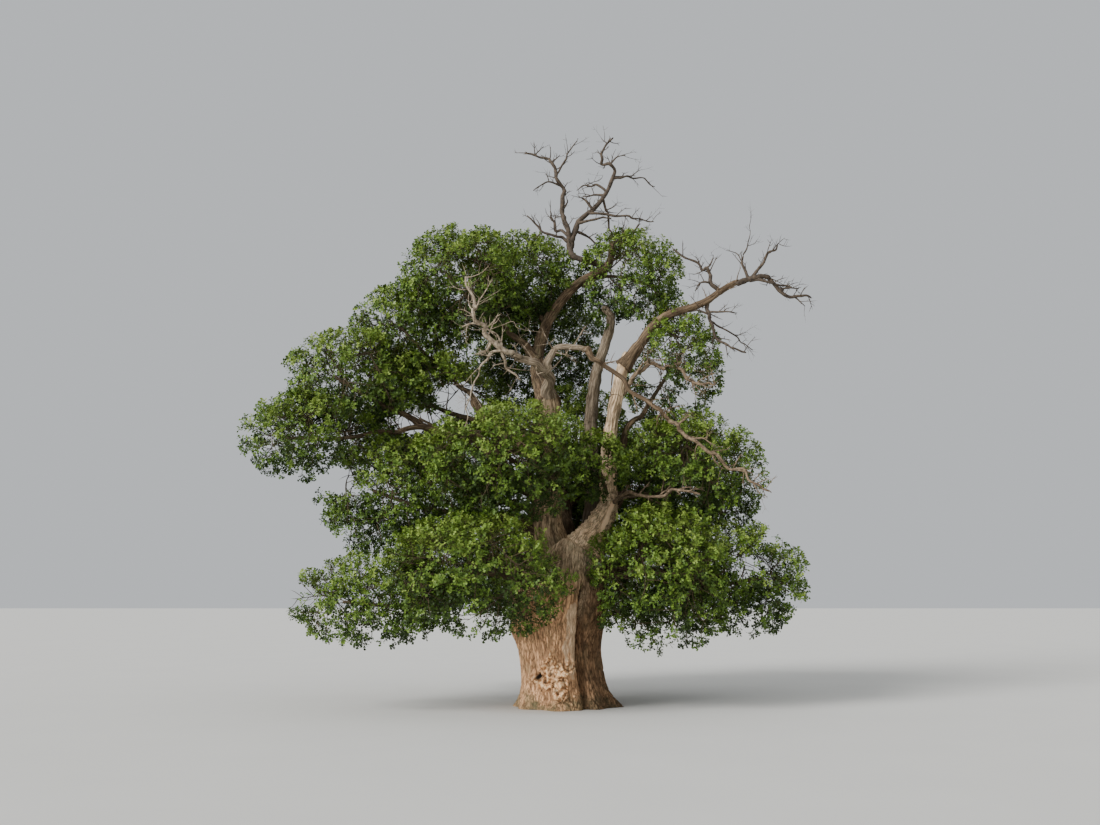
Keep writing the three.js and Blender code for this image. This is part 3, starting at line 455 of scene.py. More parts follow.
# The finer twigs: how many a parent carries, from which share of it, their lengths, angles and rings,
# then the leaves on them
SIDE_TWIGS = {
    "count": 8, "first": 0.28, "length": (0.55, 1.0), "angle": (40, 68), "lift": 0.12,
    "radius": 0.012, "tip": 0.35, "steps": 3,
}
TWIGLETS = {
    "count": 6, "first": 0.3, "length": (0.22, 0.4), "angle": (35, 65), "lift": 0.18,
    "radius": 0.005, "tip": 0.4, "steps": 1,
}
TWIG_LUCK = 1.3
TWIG_ONWARD = 0.5
TWIG_CURL = 0.6
LEAF_SHARES = [0.28, 0.45, 0.6, 0.72, 0.83, 0.92, 0.98, 1.0]
LEAF_ANGLE = (38, 74)
LEAF_TURN = 6.28
LEAF_SIZES = (0.75, 1.2)
LEAF_FACING = {"up": 0.6, "outward": 0.5, "spray": 0.7, "leaf": 1.1}
DEEPEST_LEAF = 0.4
SKIN = 0.92
SHORTEST = 0.3

# How far the foliage is drawn together into clumps, and which masses are more open than the others
CLUMP = {"size": 0.75, "open": 0.42, "fine": 0.4, "finer": 2.5, "levels": (-1.2, 0.6)}
OPENNESS = {
    "right_upper": 0.46, "top_right": 0.38, "shoulder_left": 0.5, "left_tip": 0.5, "left_upper": 0.46,
    "left_inner": 0.52, "low_left_outer": 0.46, "low_right_outer": 0.46, "centre_back": 0.05,
    "centre_front": 0.18, "left_lower": 0.28, "fork_spray": 0.1, "crotch_spray": 0.0,
    "inner_spray": 0.1, "rear_low_right": 0.15, "rear_low_left": 0.25, "rear_right": 0.3,
}

# A lobed leaf of length 1: where its midrib is cut in to, and the tips of its lobes on one side, each
# as how far along, how far out and how high it lies
LEAF_NOTCH = 0.46
LEAF_LOBES = [(0.38, 0.25, 0.04), (0.74, 0.34, 0.06)]
LEAF_DROOP = 0.16

# Which of the four greens a leaf gets: the steps between them, and what its level is made of. Paler
# greens outside and on top of a mass and deeper ones inside are painted light and painted shade; the
# chance per spray and per leaf is their own variation.
GREEN_STEPS = (0.25, 0.55, 0.84)
GREEN_RULE = {"depth": 0.55, "height": 0.35, "spray": 0.65, "leaf": 0.4, "middle": 0.52}

# Openings in the foliage where the sky shows: middle (x, z) and half sizes, seen from the front
SKY = [
    ((-3.95, 7.55), (0.72, 0.32)),
    ((-2.75, 8.2), (0.62, 0.5)),
    ((-6.05, 5.95), (0.35, 0.36)),
    ((1.82, 9.9), (0.5, 0.68)),
    ((2.6, 8.9), (0.3, 0.28)),
    ((3.5, 8.2), (0.34, 0.24)),
]
SKY_EDGE = {"wander": 0.35, "size": 0.4}

# Camera and light
CAMERA = {"place": (-0.27, -29.0, 2.82), "pitch": 9.8, "lens": 35, "sensor": 36}
KEY_FROM = (-1.0, -0.85, 0.85)
FILL_FROM = (-1.0, -0.75, 0.15)

# Patterns, ramps and finishes
WHITE = (1.0, 1.0, 1.0)
BLACK = (0.0, 0.0, 0.0)
FISSURE = (0.4, 0.38, 0.36)
RAMPS = {
    "plates": (0.36, 0.66), "cracks": (0.42, 0.485, 0.51, 0.58), "film": (0.5, 0.68),
    "streaks": (0.34, 0.64), "knobs": (0.36, 0.45, 0.52, 0.6), "islands": (0.34, 0.46),
    "edge": (0.0, 0.45, 1.0), "twigs": (0.32, 0.7), "floor": (0.3, 0.7),
}
FILM_SHARE = 0.4
MOSS_SHARE = 0.5
RUST_SHARE = 0.7
STRIP_SHARE = 0.88
BARK_FINISH = {
    "roughness": 0.92, "shine": 0.2, "broad": 0.55, "fine": 0.5, "strength": 0.5, "distance": 0.02,
}
TWIG_FINISH = {"roughness": 0.85, "strength": 0.3, "distance": 0.005}
TWIG_NOISE = {"scale": 14.0, "detail": 5.0}
LIVE_TWIG_ROUGHNESS = 0.8
LEAF_FINISHES = {"deep": 0.6, "middle": 0.55, "fresh": 0.5, "bright": 0.5}
PLAIN_SHINE = 0.25
FLOOR = {"roughness": 0.95, "noise": 0.4, "shade": 0.97}
BARK_NOISE = {
    "broad": {"scale": 1.7, "detail": 3.0},
    "fine": {"stretch": (1, 1, 0.3), "scale": 26.0, "detail": 6.0, "roughness": 0.7},
    "fissures": {"stretch": (1, 1, 0.16), "scale": 15.0, "detail": 3.0, "roughness": 0.6},
    "film": {"scale": 3.1, "detail": 5.0},
    "streaks": {"stretch": (1, 1, 0.07), "scale": 30.0, "detail": 5.0},
    "knobs": {"scale": 11.0, "detail": 8.0, "roughness": 0.75},
    "islands": {"stretch": (1, 1, 0.35), "scale": 7.0, "detail": 5.0, "roughness": 0.6},
}


def linear(red, green, blue):
    """A colour given as it is seen, from 0 to 255, as the linear values that a shader takes."""
    share = np.array((red, green, blue)) / 255
    return tuple(np.where(share <= 0.04045, share / 12.92, ((share + 0.055) / 1.055) ** 2.4))


def mix(start, end, share):
    """The value at a share of the way from start to end."""
    return start + (end - start) * share


def chance(seed, number):
    """fract(43758.5453 sin(12.9898 seed + 78.233 number)), from 0 to 1."""
    wave = np.sin(seed * 12.9898 + np.asarray(number) * 78.233) * 43758.5453
    return wave - np.floor(wave)


def seed_of(name):
    """The letters of a name as one number: the sum of each code times its place, modulo SEEDS."""
    return sum(ord(letter) * (index + 1) for index, letter in enumerate(name)) % SEEDS


def unit(vectors):
    """Vectors divided by their own lengths."""
    return vectors / np.maximum(np.linalg.norm(vectors, axis=-1, keepdims=True), 1e-12)


def bump(distance, width):
    """exp(-(distance / width)^2): 1 in the middle, fading over the width."""
    return np.exp(-((distance / width) ** 2))


def angle_gap(first, second):
    """How far two angles in degrees lie apart, from 0 to 180."""
    return np.abs(np.mod(first - second + 180, 360) - 180)


def smooth_step(value, low, high):
    """3s^2 - 2s^3, where s is the share of the way from low to high, held between 0 and 1."""
    share = np.clip((value - low) / (high - low), 0, 1)
    return share * share * (3 - 2 * share)


def cloud(points, size, seed):
    """Soft noise from -1 to 1: chance at the corners of cubes of that size, eased between them."""
    scaled = points / size
    corner = np.floor(scaled)
    part = scaled - corner
    ease = part * part * (3 - 2 * part)
    total = np.zeros(points.shape[:-1])
    for offset in itertools.product((0, 1), repeat=3):
        weight = np.prod(np.where(offset, ease, 1 - ease), axis=-1)
        total += weight * chance(seed, (corner + offset) @ np.array((1.0, 57.0, 113.0)))
    return 2 * total - 1


def rough_cloud(points, rule, seed):
    """Soft noise of the rule's size, with its share `fine` of a noise that is so much finer on top."""
    coarse = cloud(points, rule["size"], seed)
    return coarse + rule["fine"] * cloud(points, rule["size"] / rule["finer"], seed + 1)


def catmull_rom(places, shares):
    """A smooth curve through places: on each piece the cubic whose ends have half the chord between
    the neighbours as their slope, with the outer neighbours mirrored in the ends."""
    points = np.array(places, float)
    last = len(points) - 1
    before = 2 * points[0] - points[1]
    after = 2 * points[last] - points[last - 1]
    padded = np.vstack((before, points, after))
    position = np.clip(shares, 0, 1) * last
    piece = np.minimum(np.floor(position).astype(int), last - 1)
    part = (position - piece)[:, None]
    p0, p1, p2, p3 = (padded[piece + step] for step in range(4))
    slope1 = 0.5 * (p2 - p0)
    slope2 = 0.5 * (p3 - p1)
    square = -3 * p1 + 3 * p2 - 2 * slope1 - slope2
    cube = 2 * p1 - 2 * p2 + slope1 + slope2
    return p1 + slope1 * part + square * part ** 2 + cube * part ** 3


class LimbLine:
    """The middle line of a limb: a smooth curve with crook sin(pi s) sin(2 pi (1.7 s + phase)) on it."""

    def __init__(self, places, crook, seed):
        self.places = places
        self.crook = crook
        self.phases = chance(seed, np.array((1, 2, 3)))

    def points(self, shares):
        shares = np.atleast_1d(np.asarray(shares, float))
        sway = np.sin(2 * np.pi * (LIMB_WAVES * shares[:, None] + self.phases))
        size = self.crook * np.sin(np.pi * shares)[:, None]
        return catmull_rom(self.places, shares) + sway * size


class Gnarled:
    """A line that wanders from another one by soft noise along its length, but not at its ends."""

    def __init__(self, line, seed):
        self.line = line
        self.seed = seed
        self.length = length_of(line)
        self.sway = GNARL["sway"] * min(1, self.length / GNARL["full"])

    def points(self, shares):
        shares = np.atleast_1d(np.asarray(shares, float))
        along = np.zeros((len(shares), 3))
        along[:, 0] = shares * self.length
        wander = [cloud(along, GNARL["size"], self.seed + axis) for axis in range(3)]
        hold = np.sin(np.pi * np.clip(shares, 0, 1)) ** 0.5
        return self.line.points(shares) + self.sway * hold[:, None] * np.stack(wander, axis=-1)


def bend_points(foot, bend, tip, share):
    """(1-s)^2 foot + 2s(1-s) bend + s^2 tip, for one curve or for many at once."""
    share = share[:, None]
    return (1 - share) ** 2 * foot + 2 * share * (1 - share) * bend + share ** 2 * tip


def bend_tangents(foot, bend, tip, share):
    """The unit directions of bent curves at shares of them."""
    share = share[:, None]
    return unit((1 - share) * (bend - foot) + share * (tip - bend))


class Bend:
    """A curve with one bend, as bend_points gives it."""

    def __init__(self, foot, bend, tip):
        self.ends = foot, bend, tip

    def points(self, shares):
        return bend_points(*self.ends, np.atleast_1d(np.asarray(shares, float)))


def tangent(line, shares):
    """The unit direction of a line at shares of it, from two points a little apart."""
    shares = np.atleast_1d(np.asarray(shares, float))
    ahead = line.points(np.clip(shares + 1e-4, 0, 1))
    behind = line.points(np.clip(shares - 1e-4, 0, 1))
    return unit(ahead - behind)


def length_of(line):
    """The length of a line, from forty short steps."""
    points = line.points(np.linspace(0, 1, 41))
    return np.linalg.norm(np.diff(points, axis=0), axis=1).sum()


def rings_round(line, share, columns):
    """Rings along a line: their middles, and the unit directions from these to their vertices. The
    first direction is square to the world axis that lies most across the line's chord."""
    chord = (line.points(1) - line.points(0))[0]
    axis = np.eye(3)[np.argmin(np.abs(chord))]
    ahead = tangent(line, share)
    side = unit(np.cross(axis, ahead))
    other = np.cross(ahead, side)
    turn = 2 * np.pi * (np.arange(columns) / columns)[None, :, None]
    outward = np.cos(turn) * side[:, None] + np.sin(turn) * other[:, None]
    return line.points(share)[:, None], outward


def limb_taper(radii, collar=None):
    """Radius along a limb: an even taper times (1 + swell exp(-s / length)), a collar at its foot."""
    foot, tip = radii
    collar = collar or COLLAR
    return lambda share: mix(foot, tip, share) * (1 + collar["swell"] * np.exp(-share / collar["length"]))


def trunk_radius(angle, height):
    """Radius of the trunk: (girth + toes + flutes + burr - cleft) sqrt(1 - rise^2), where rise is how
    far the height has gone into the dome. Angle in degrees."""
    girth = TRUNK_RADIUS + FLARE["radius"] * np.exp(-height / FLARE["height"])
    girth = girth + BULGE["radius"] * bump(height - BULGE["middle"], BULGE["height"])
    toes = 0
    for index, toe in enumerate(TOES["angles"]):
        reach = TOE_REACH["longest"] if index == 0 else mix(
            TOE_REACH["least"], TOE_REACH["least"] + TOE_REACH["more"], chance(index, 7))
        toes = toes + reach * bump(angle_gap(angle, toe), TOES["width"])
    toes = toes * np.exp(-height / TOES["height"])
    turn = FLUTES["count"] * np.radians(angle) + height / FLUTES["twist"]
    flutes = FLUTES["depth"] * np.cos(turn)
    burr = BURR["depth"] * bump(angle_gap(angle, BURR["angle"]), BURR["width"])
    burr = burr * bump(height - BURR["middle"], BURR["height"])
    fade = 1 - smooth_step(height, CLEFT["full"], CLEFT["end"])
    cleft = CLEFT["depth"] * bump(angle_gap(angle, CLEFT["angle"]), CLEFT["width"]) * fade
    rise = np.clip((height - DOME["start"]) / DOME["height"], 0, 1)
    return (girth + toes + flutes + burr - cleft) * np.sqrt(1 - rise * rise)


def ring_faces(rows, columns):
    """Quads of a closed sleeve of rows rings, and fans that close its two ends on the two vertices
    that follow the rings."""
    row = np.arange(rows - 1)[:, None] * columns
    column = np.arange(columns)
    after = (column + 1) % columns
    quads = np.stack(np.broadcast_arrays(
        row + column, row + after, row + columns + after, row + columns + column), axis=-1)
    foot = rows * columns
    top = (rows - 1) * columns
    low = np.stack((after, column, np.full(columns, foot)), axis=-1)
    high = np.stack((top + column, top + after, np.full(columns, foot + 1)), axis=-1)
    return [quads.reshape(-1, 4), np.vstack((low, high))]


def sleeve(rings):
    """A closed surface through rings, an array (rows, columns, 3), with its ends on their means."""
    rows, columns = rings.shape[:2]
    ends = rings[[0, -1]].mean(axis=1)
    return np.vstack((rings.reshape(-1, 3), ends)), ring_faces(rows, columns)


def with_ends(values):
    """A value for each vertex of a sleeve, from the values on its rings and their means at the ends."""
    ends = values[[0, -1]].mean(axis=1)
    return np.concatenate((values.reshape((-1,) + values.shape[2:]), ends))


def frames_along(directions):
    """Two unit directions across each of many directions."""
    helper = np.where(np.abs(directions[..., 2:]) > 0.8, np.array((1.0, 0, 0)), UP)
    side = unit(np.cross(helper, directions))
    return side, np.cross(directions, side)


def twig_tubes(feet, bends, tips, foot_radius, tip_radius, sides, steps):
    """Many thin tubes at once. Each has steps rings of sides vertices round the curve
    (1-s)^2 foot + 2s(1-s) bend + s^2 tip and closes in a point at its tip and at its foot."""
    count = len(feet)
    share = (np.arange(steps) / steps)[None, :, None]
    foot, bend, tip = feet[:, None], bends[:, None], tips[:, None]
    middle = (1 - share) ** 2 * foot + 2 * share * (1 - share) * bend + share ** 2 * tip
    ahead = unit((1 - share) * (bend - foot) + share * (tip - bend))
    side, other = frames_along(ahead)
    turn = 2 * np.pi * np.arange(sides) / sides
    radius = mix(np.reshape(foot_radius, (-1, 1, 1)), np.reshape(tip_radius, (-1, 1, 1)), share)
    ring = np.cos(turn)[:, None] * side[:, :, None] + np.sin(turn)[:, None] * other[:, :, None]
    rings = middle[:, :, None] + ring * radius[..., None]
    closed = np.concatenate((rings.reshape(count, -1, 3), feet[:, None], tips[:, None]), axis=1)
    quads, fans = ring_faces(steps, sides)
    start = (np.arange(count) * closed.shape[1])[:, None, None]
    quads = (quads[None] + start).reshape(-1, 4)
    fans = (fans[None] + start).reshape(-1, 3)
    return closed.reshape(-1, 3), [quads, fans]


def joined(parts):
    """Several (vertices, [quads, triangles]) as one, with the face numbers moved on."""
    vertices = np.vstack([points for points, _ in parts])
    starts = np.cumsum([0] + [len(points) for points, _ in parts[:-1]])
    quads = np.vstack([faces[0] + start for (_, faces), start in zip(parts, starts)])
    triangles = np.vstack([faces[1] + start for (_, faces), start in zip(parts, starts)])
    return vertices, [quads, triangles]


def make_piece(name, vertices, faces, materials, nodes, smooth=True, kinds=None, values=None):
    """Puts arrays into a mesh, gives it its materials and vertex values, and ties it to the frame."""
    mesh = bpy.data.meshes.new(name)
    faces = [group for group in faces if len(group)]
    corners = np.concatenate([group.ravel() for group in faces]).astype(np.int32)
    sizes = np.concatenate([np.full(len(group), group.shape[1]) for group in faces])
    starts = np.concatenate(([0], np.cumsum(sizes)[:-1])).astype(np.int32)
    mesh.vertices.add(len(vertices))
    mesh.vertices.foreach_set("co", vertices.astype(np.float32).ravel())
    mesh.loops.add(len(corners))
    mesh.loops.foreach_set("vertex_index", corners)
    mesh.polygons.add(len(sizes))
    mesh.polygons.foreach_set("loop_start", starts)
    for material in materials:
        mesh.materials.append(material)
    if kinds is not None:
        mesh.polygons.foreach_set("material_index", kinds.astype(np.int32))
    mesh.polygons.foreach_set("use_smooth", np.full(len(sizes), smooth))
    for key, value in (values or {}).items():
        kind, field = ("FLOAT_VECTOR", "vector") if value.ndim == 2 else ("FLOAT", "value")
        attribute = mesh.attributes.new(key, kind, "POINT")
        attribute.data.foreach_set(field, value.astype(np.float32).ravel())
    mesh.update(calc_edges=True)
    if mesh.validate():
        raise RuntimeError(f"{name} had faces that are not right")
    piece = bpy.data.objects.new(name, mesh)
    bpy.context.scene.collection.objects.link(piece)
    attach(piece, BODY)
    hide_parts(*nodes)
    return piece


# Lines of all limbs, with their radius as a function of the share, for what grows on them
lines = {}
tapers = {}


def make_lines():
    """Lays the middle lines of the trunk, the limbs, the bare stems and the boughs."""
    lines["trunk"] = LimbLine(TRUNK_LINE, 0, 0)
    for name, limb in {**LIMBS, **BARE}.items():
        foot = tuple(lines[limb["from"]].points(limb["at"])[0])
        places = [foot, *limb["through"], limb["tip"]]
        lines[name] = LimbLine(places, limb.get("crook", 0), seed_of(name))
        if name in GNARLED or name in BARE:
            lines[name] = Gnarled(lines[name], seed_of(name))
        tapers[name] = limb_taper(limb["radii"], limb.get("collar"))
    for mass in MASSES.values():
        if "bough" in mass:
            lay_bough(mass)


def lay_bough(mass):
    """The bough of a mass: from its carrier over a half-way point raised by its arch to ENTRY of the
    way from the middle of the space to its skin."""
    middle = np.array(mass["middle"])
    foot = lines[mass["from"]].points(mass["at"])[0]
    back = unit(foot - middle)
    tip = middle + back * ENTRY / np.linalg.norm(back / mass["half"])
    half_way = (foot + tip) / 2 + UP * mass["arch"]
    crook = BOUGH_CROOK * np.linalg.norm(foot - tip)
    lines[mass["bough"]] = LimbLine([foot, half_way, tip], crook, seed_of(mass["bough"]))
    tapers[mass["bough"]] = limb_taper(mass["radii"])


def gap_to_limb(points, name):
    """How far points lie outside a limb: the least of (distance to its line - its radius there)."""
    shares = np.linspace(0, 1, GAP_SAMPLES)
    middle = lines[name].points(shares)
    radius = tapers[name](shares)
    gap = np.full(len(points), FAR)
    for place, reach in zip(middle, radius):
        gap = np.minimum(gap, np.linalg.norm(points - place, axis=1) - reach)
    return gap


def gap_to_trunk(points):
    """How far points lie outside the trunk: along its radius below the dome, and on the dome by how
    far they lie outside its ellipsoid."""
    height = np.clip(points[:, 2], 0, TRUNK_TOP)
    middle = lines["trunk"].points(height / TRUNK_TOP)
    away = points[:, :2] - middle[:, :2]
    distance = np.linalg.norm(away, axis=1)
    angle = np.degrees(np.arctan2(away[:, 1], away[:, 0]))
    girth = trunk_radius(angle, np.minimum(height, DOME["start"]))
    rise = np.maximum(0, points[:, 2] - DOME["start"]) / DOME["height"]
    return (np.hypot(distance / girth, rise) - 1) * np.minimum(girth, DOME["height"])


def fillet(gap):
    """(k - |gap|)^2 / 4k within k of another surface: what a soft join adds to both."""
    return np.maximum(0, FILLET - np.abs(gap)) ** 2 / (4 * FILLET)


def furrows(grain, seed, spacing, length):
    """How deep a point lies in the furrows of the bark, from 0 on a ridge to 1 in a furrow. They are
    the lines where soft noise, stretched along the limb, passes through 0."""
    stretch = np.array((spacing, spacing, length))
    wide = np.abs(cloud(grain / stretch, 1, seed))
    narrow = np.abs(cloud(grain / stretch, NARROW_FURROWS["size"], seed + 3))
    narrow = NARROW_FURROWS["share"] * (1 - smooth_step(narrow, *FURROW_NARROW))
    return np.maximum(1 - smooth_step(wide, *FURROW_WIDE), narrow)


def trunk_grid():
    """Heights and turns of the trunk's vertices, with the rings closer together near the ground."""
    share = np.linspace(0, 1, TRUNK_ROWS)[:, None]
    height = TRUNK_TOP * share * mix(FOOT_SPACING, 1, share)
    turn = 2 * np.pi * (np.arange(TRUNK_COLUMNS) / TRUNK_COLUMNS)[None, :]
    return np.broadcast_arrays(height, turn)


def on_trunk(height, turn, radius):
    """Points at a height, a turn and a radius about the trunk's line."""
    middle = lines["trunk"].points(height[:, 0] / TRUNK_TOP)[:, None, :]
    outward = np.stack((np.cos(turn), np.sin(turn), np.zeros_like(turn)), axis=-1)
    rings = middle + outward * radius[..., None]
    rings[..., 2] = height
    return rings


def trunk_joins(points):
    """What the soft joins to the limbs and boughs that leave the trunk add to its radius."""
    leaving = [name for name, limb in LIMBS.items() if limb["from"] == "trunk"]
    leaving += [mass["bough"] for mass in MASSES.values() if mass["from"] == "trunk" and "bough" in mass]
    return np.max([fillet(gap_to_limb(points, name)) for name in leaving], axis=0)


def trunk_grain(smooth, height, turn):
    """Coordinates that follow the wood: round the trunk at its steady radius, and along its surface."""
    steady = trunk_radius(np.degrees(turn), np.minimum(height, DOME["start"]))
    steps = np.linalg.norm(np.diff(smooth, axis=0, prepend=smooth[:1]), axis=-1)
    return np.stack((steady * np.cos(turn), steady * np.sin(turn), np.cumsum(steps, axis=0)), axis=-1)


def narrow_groove(angle, height):
    """1 in the groove down the front of the trunk, which winds by a few degrees."""
    window = smooth_step(height, GROOVE["low"] - GROOVE["run_in"], GROOVE["low"])
    window = window * (1 - smooth_step(height, GROOVE["high"], GROOVE["high"] + GROOVE["run_out"]))
    middle = GROOVE["angle"] + GROOVE["winding"] * np.sin(4 * height)
    return bump(angle_gap(angle, middle), GROOVE["width"]) * window


def knot_hole(angle, height):
    """1 in the knot hole beside the burr."""
    hole = bump(angle_gap(angle, KNOT_HOLE["angle"]), KNOT_HOLE["width"])
    return hole * bump(height - KNOT_HOLE["height"], KNOT_HOLE["size"])


def trunk_shade(angle, deep, recess_shade):
    """Painted shade on the trunk: how dark it is painted in its hollows, on its right side and in its
    furrows.
    """
    signed = np.mod(angle + 180, 360) - 180
    painted_side_shade = SHADY_SIDE["share"] * smooth_step(signed, *SHADY_SIDE["start"])
    painted_side_shade = painted_side_shade * (1 - smooth_step(signed, *SHADY_SIDE["end"]))
    return np.maximum(np.clip(recess_shade, 0, 1), mix(painted_side_shade, 1, deep * FURROW_SHADE))


def make_trunk(settings, material):
    """The trunk as r(angle, height) about its line: trunk_radius, soft joins to what leaves it, large
    lumps, bark furrows, the narrow groove, the burr patch with its knot hole, and the folds and bare
    strip that come down from the right stem."""
    height, turn = trunk_grid()
    angle = np.degrees(turn)
    radius = trunk_radius(angle, height)
    smooth = on_trunk(height, turn, radius)
    flat = smooth.reshape(-1, 3)
    radius = radius + trunk_joins(flat).reshape(radius.shape)

    ragged = rough_cloud(smooth, RAGGED, NOISE_SEEDS["ragged"])
    strip = patch(angle, height, PALE_STRIP, ragged * RAGGED["strip"])
    burr = patch(angle, height, BURR_PATCH, ragged * RAGGED["burr"])
    pale = 1 - smooth_step(gap_to_limb(flat, "stem_right").reshape(radius.shape), *PALE_REACH)
    stripped = strip_on_stem(smooth, np.sin(turn) < 0) * pale
    bare = np.maximum(np.maximum(strip, burr), stripped)

    grain = trunk_grain(smooth, height, turn)
    deep = furrows(grain, NOISE_SEEDS["bark"], settings.furrow_spacing, settings.furrow_length)
    deep = deep * (1 - bare)
    deep = deep * mix(1, FOLDS["furrows"], pale)
    knobs = rough_cloud(smooth, BURR_LUMPS, NOISE_SEEDS["knobs"])
    lumps = TRUNK_LUMPS["height"] * cloud(smooth, TRUNK_LUMPS["size"], NOISE_SEEDS["lumps"])
    lumps = lumps + BURR_LUMPS["height"] * burr * np.abs(knobs)
    lumps = lumps + folds_across(smooth) * pale * (1 - stripped)
    groove = narrow_groove(angle, height)
    hole = knot_hole(angle, height)
    radius = radius + lumps - settings.furrow_depth * deep
    radius = radius - GROOVE["depth"] * groove - KNOT_HOLE["depth"] * hole
    vertices, faces = sleeve(on_trunk(height, turn, np.maximum(radius, LEAST_RADIUS)))

    # Painted shade for the trunk's `dark` value: in the burr's crevices, the groove and the knot hole, on
    # the right side and in the furrows
    crevice_shade = BURR_LUMPS["shade"] * burr * (1 - smooth_step(np.abs(knobs), *BURR_LUMPS["crevice"]))
    recess_shade = np.maximum(np.maximum(groove, hole) * HOLLOW_SHADE, crevice_shade)
    values = {
        "grain": grain, "bare": bare, "burr": burr, "dark": trunk_shade(angle, deep, recess_shade),
        "low": 1 - smooth_step(height, *GREY_FROM),
        "moss": 1 - smooth_step(height + MOSS_WANDER * ragged, *MOSS_HEIGHTS), "pale": pale,
    }
    values = {key: with_ends(value) for key, value in values.items()}
    make_piece("trunk_bark", vertices, faces, [material], ["trunk"], values=values)


def strip_on_stem(points, forwards):
    """1 on the strip without bark at the right stem's foot, seen from the front: where |x - x(z)| is
    under its half width, and the surface faces forwards."""
    heights, middles, widths = np.array(STEM_STRIP).T
    x, z = points[..., 0], points[..., 2]
    aside = np.abs(x - np.interp(z, heights, middles)) / np.interp(z, heights, widths)
    aside = aside + STRIP_EDGE["wander"] * cloud(points, STRIP_EDGE["size"], NOISE_SEEDS["strip"])
    low, high = heights[0], heights[-1]
    window = smooth_step(z, low - STRIP_EDGE["below"], low)
    window = window * (1 - smooth_step(z, high, high + STRIP_EDGE["above"]))
    return (1 - smooth_step(aside, *STRIP_EDGE["fade"])) * window * forwards


def folds_across(points):
    """Folds square to the right stem's foot: sin(2 pi along / spacing), bent by soft noise."""
    along = points @ unit(np.array(FOLDS["way"]))
    bent = FOLDS["bent"] * cloud(points, FOLDS["bends"], NOISE_SEEDS["folds"])
    wave = np.sin(2 * np.pi * along / FOLDS["spacing"] + bent)
    return FOLDS["depth"] * wave * (1 - smooth_step(points[..., 2], *FOLDS["top"]))


def patch(angle, height, place, ragged):
    """1 inside a patch a^2 + h^2 = 1 whose edge wanders by `ragged`, falling to 0 at its edge."""
    middle, half_angle, level, half_height = place
    aside = angle_gap(angle, middle) / half_angle
    away = np.hypot(aside, (height - level) / half_height)
    return 1 - smooth_step(away + ragged, *PATCH_EDGE)


def limb_relief(settings, barked, radius, grain, full, seed):
    """The furrows of bark, or the long shallow grooves of bare wood: where they are deep, from 0 to 1,
    and how deep they go."""
    if barked:
        spacing = settings.furrow_spacing * mix(THIN_BARK["spacing"], 1, full)
        thick = np.clip(radius / THIN_BARK["under"], 0, 1)
        depth = settings.furrow_depth * mix(THIN_BARK["depth"], 1, thick)
        return furrows(grain, seed, spacing, settings.furrow_length), depth
    pattern = cloud(grain * BARE_GROOVES["stretch"], BARE_GROOVES["size"], seed + 1)
    deep = np.clip(pattern * BARE_GROOVES["height"] + BARE_GROOVES["middle"], 0, 1)
    return deep, BARE_GROOVES["depth"] * radius


def with_spurs(name, vertices, faces, values, seed):
    """The mesh and values of a dead limb with its spurs added, which are bare wood."""
    spurs = spurs_on(lines[name], LIMBS[name]["radii"], seed, SPURRED[name])
    vertices, faces = joined([(vertices, faces), spurs])
    added = {key: np.full(len(spurs[0]), float(key == "bare")) for key in values}
    added["grain"] = spurs[0]
    return vertices, faces, {key: np.concatenate((value, added[key])) for key, value in values.items()}


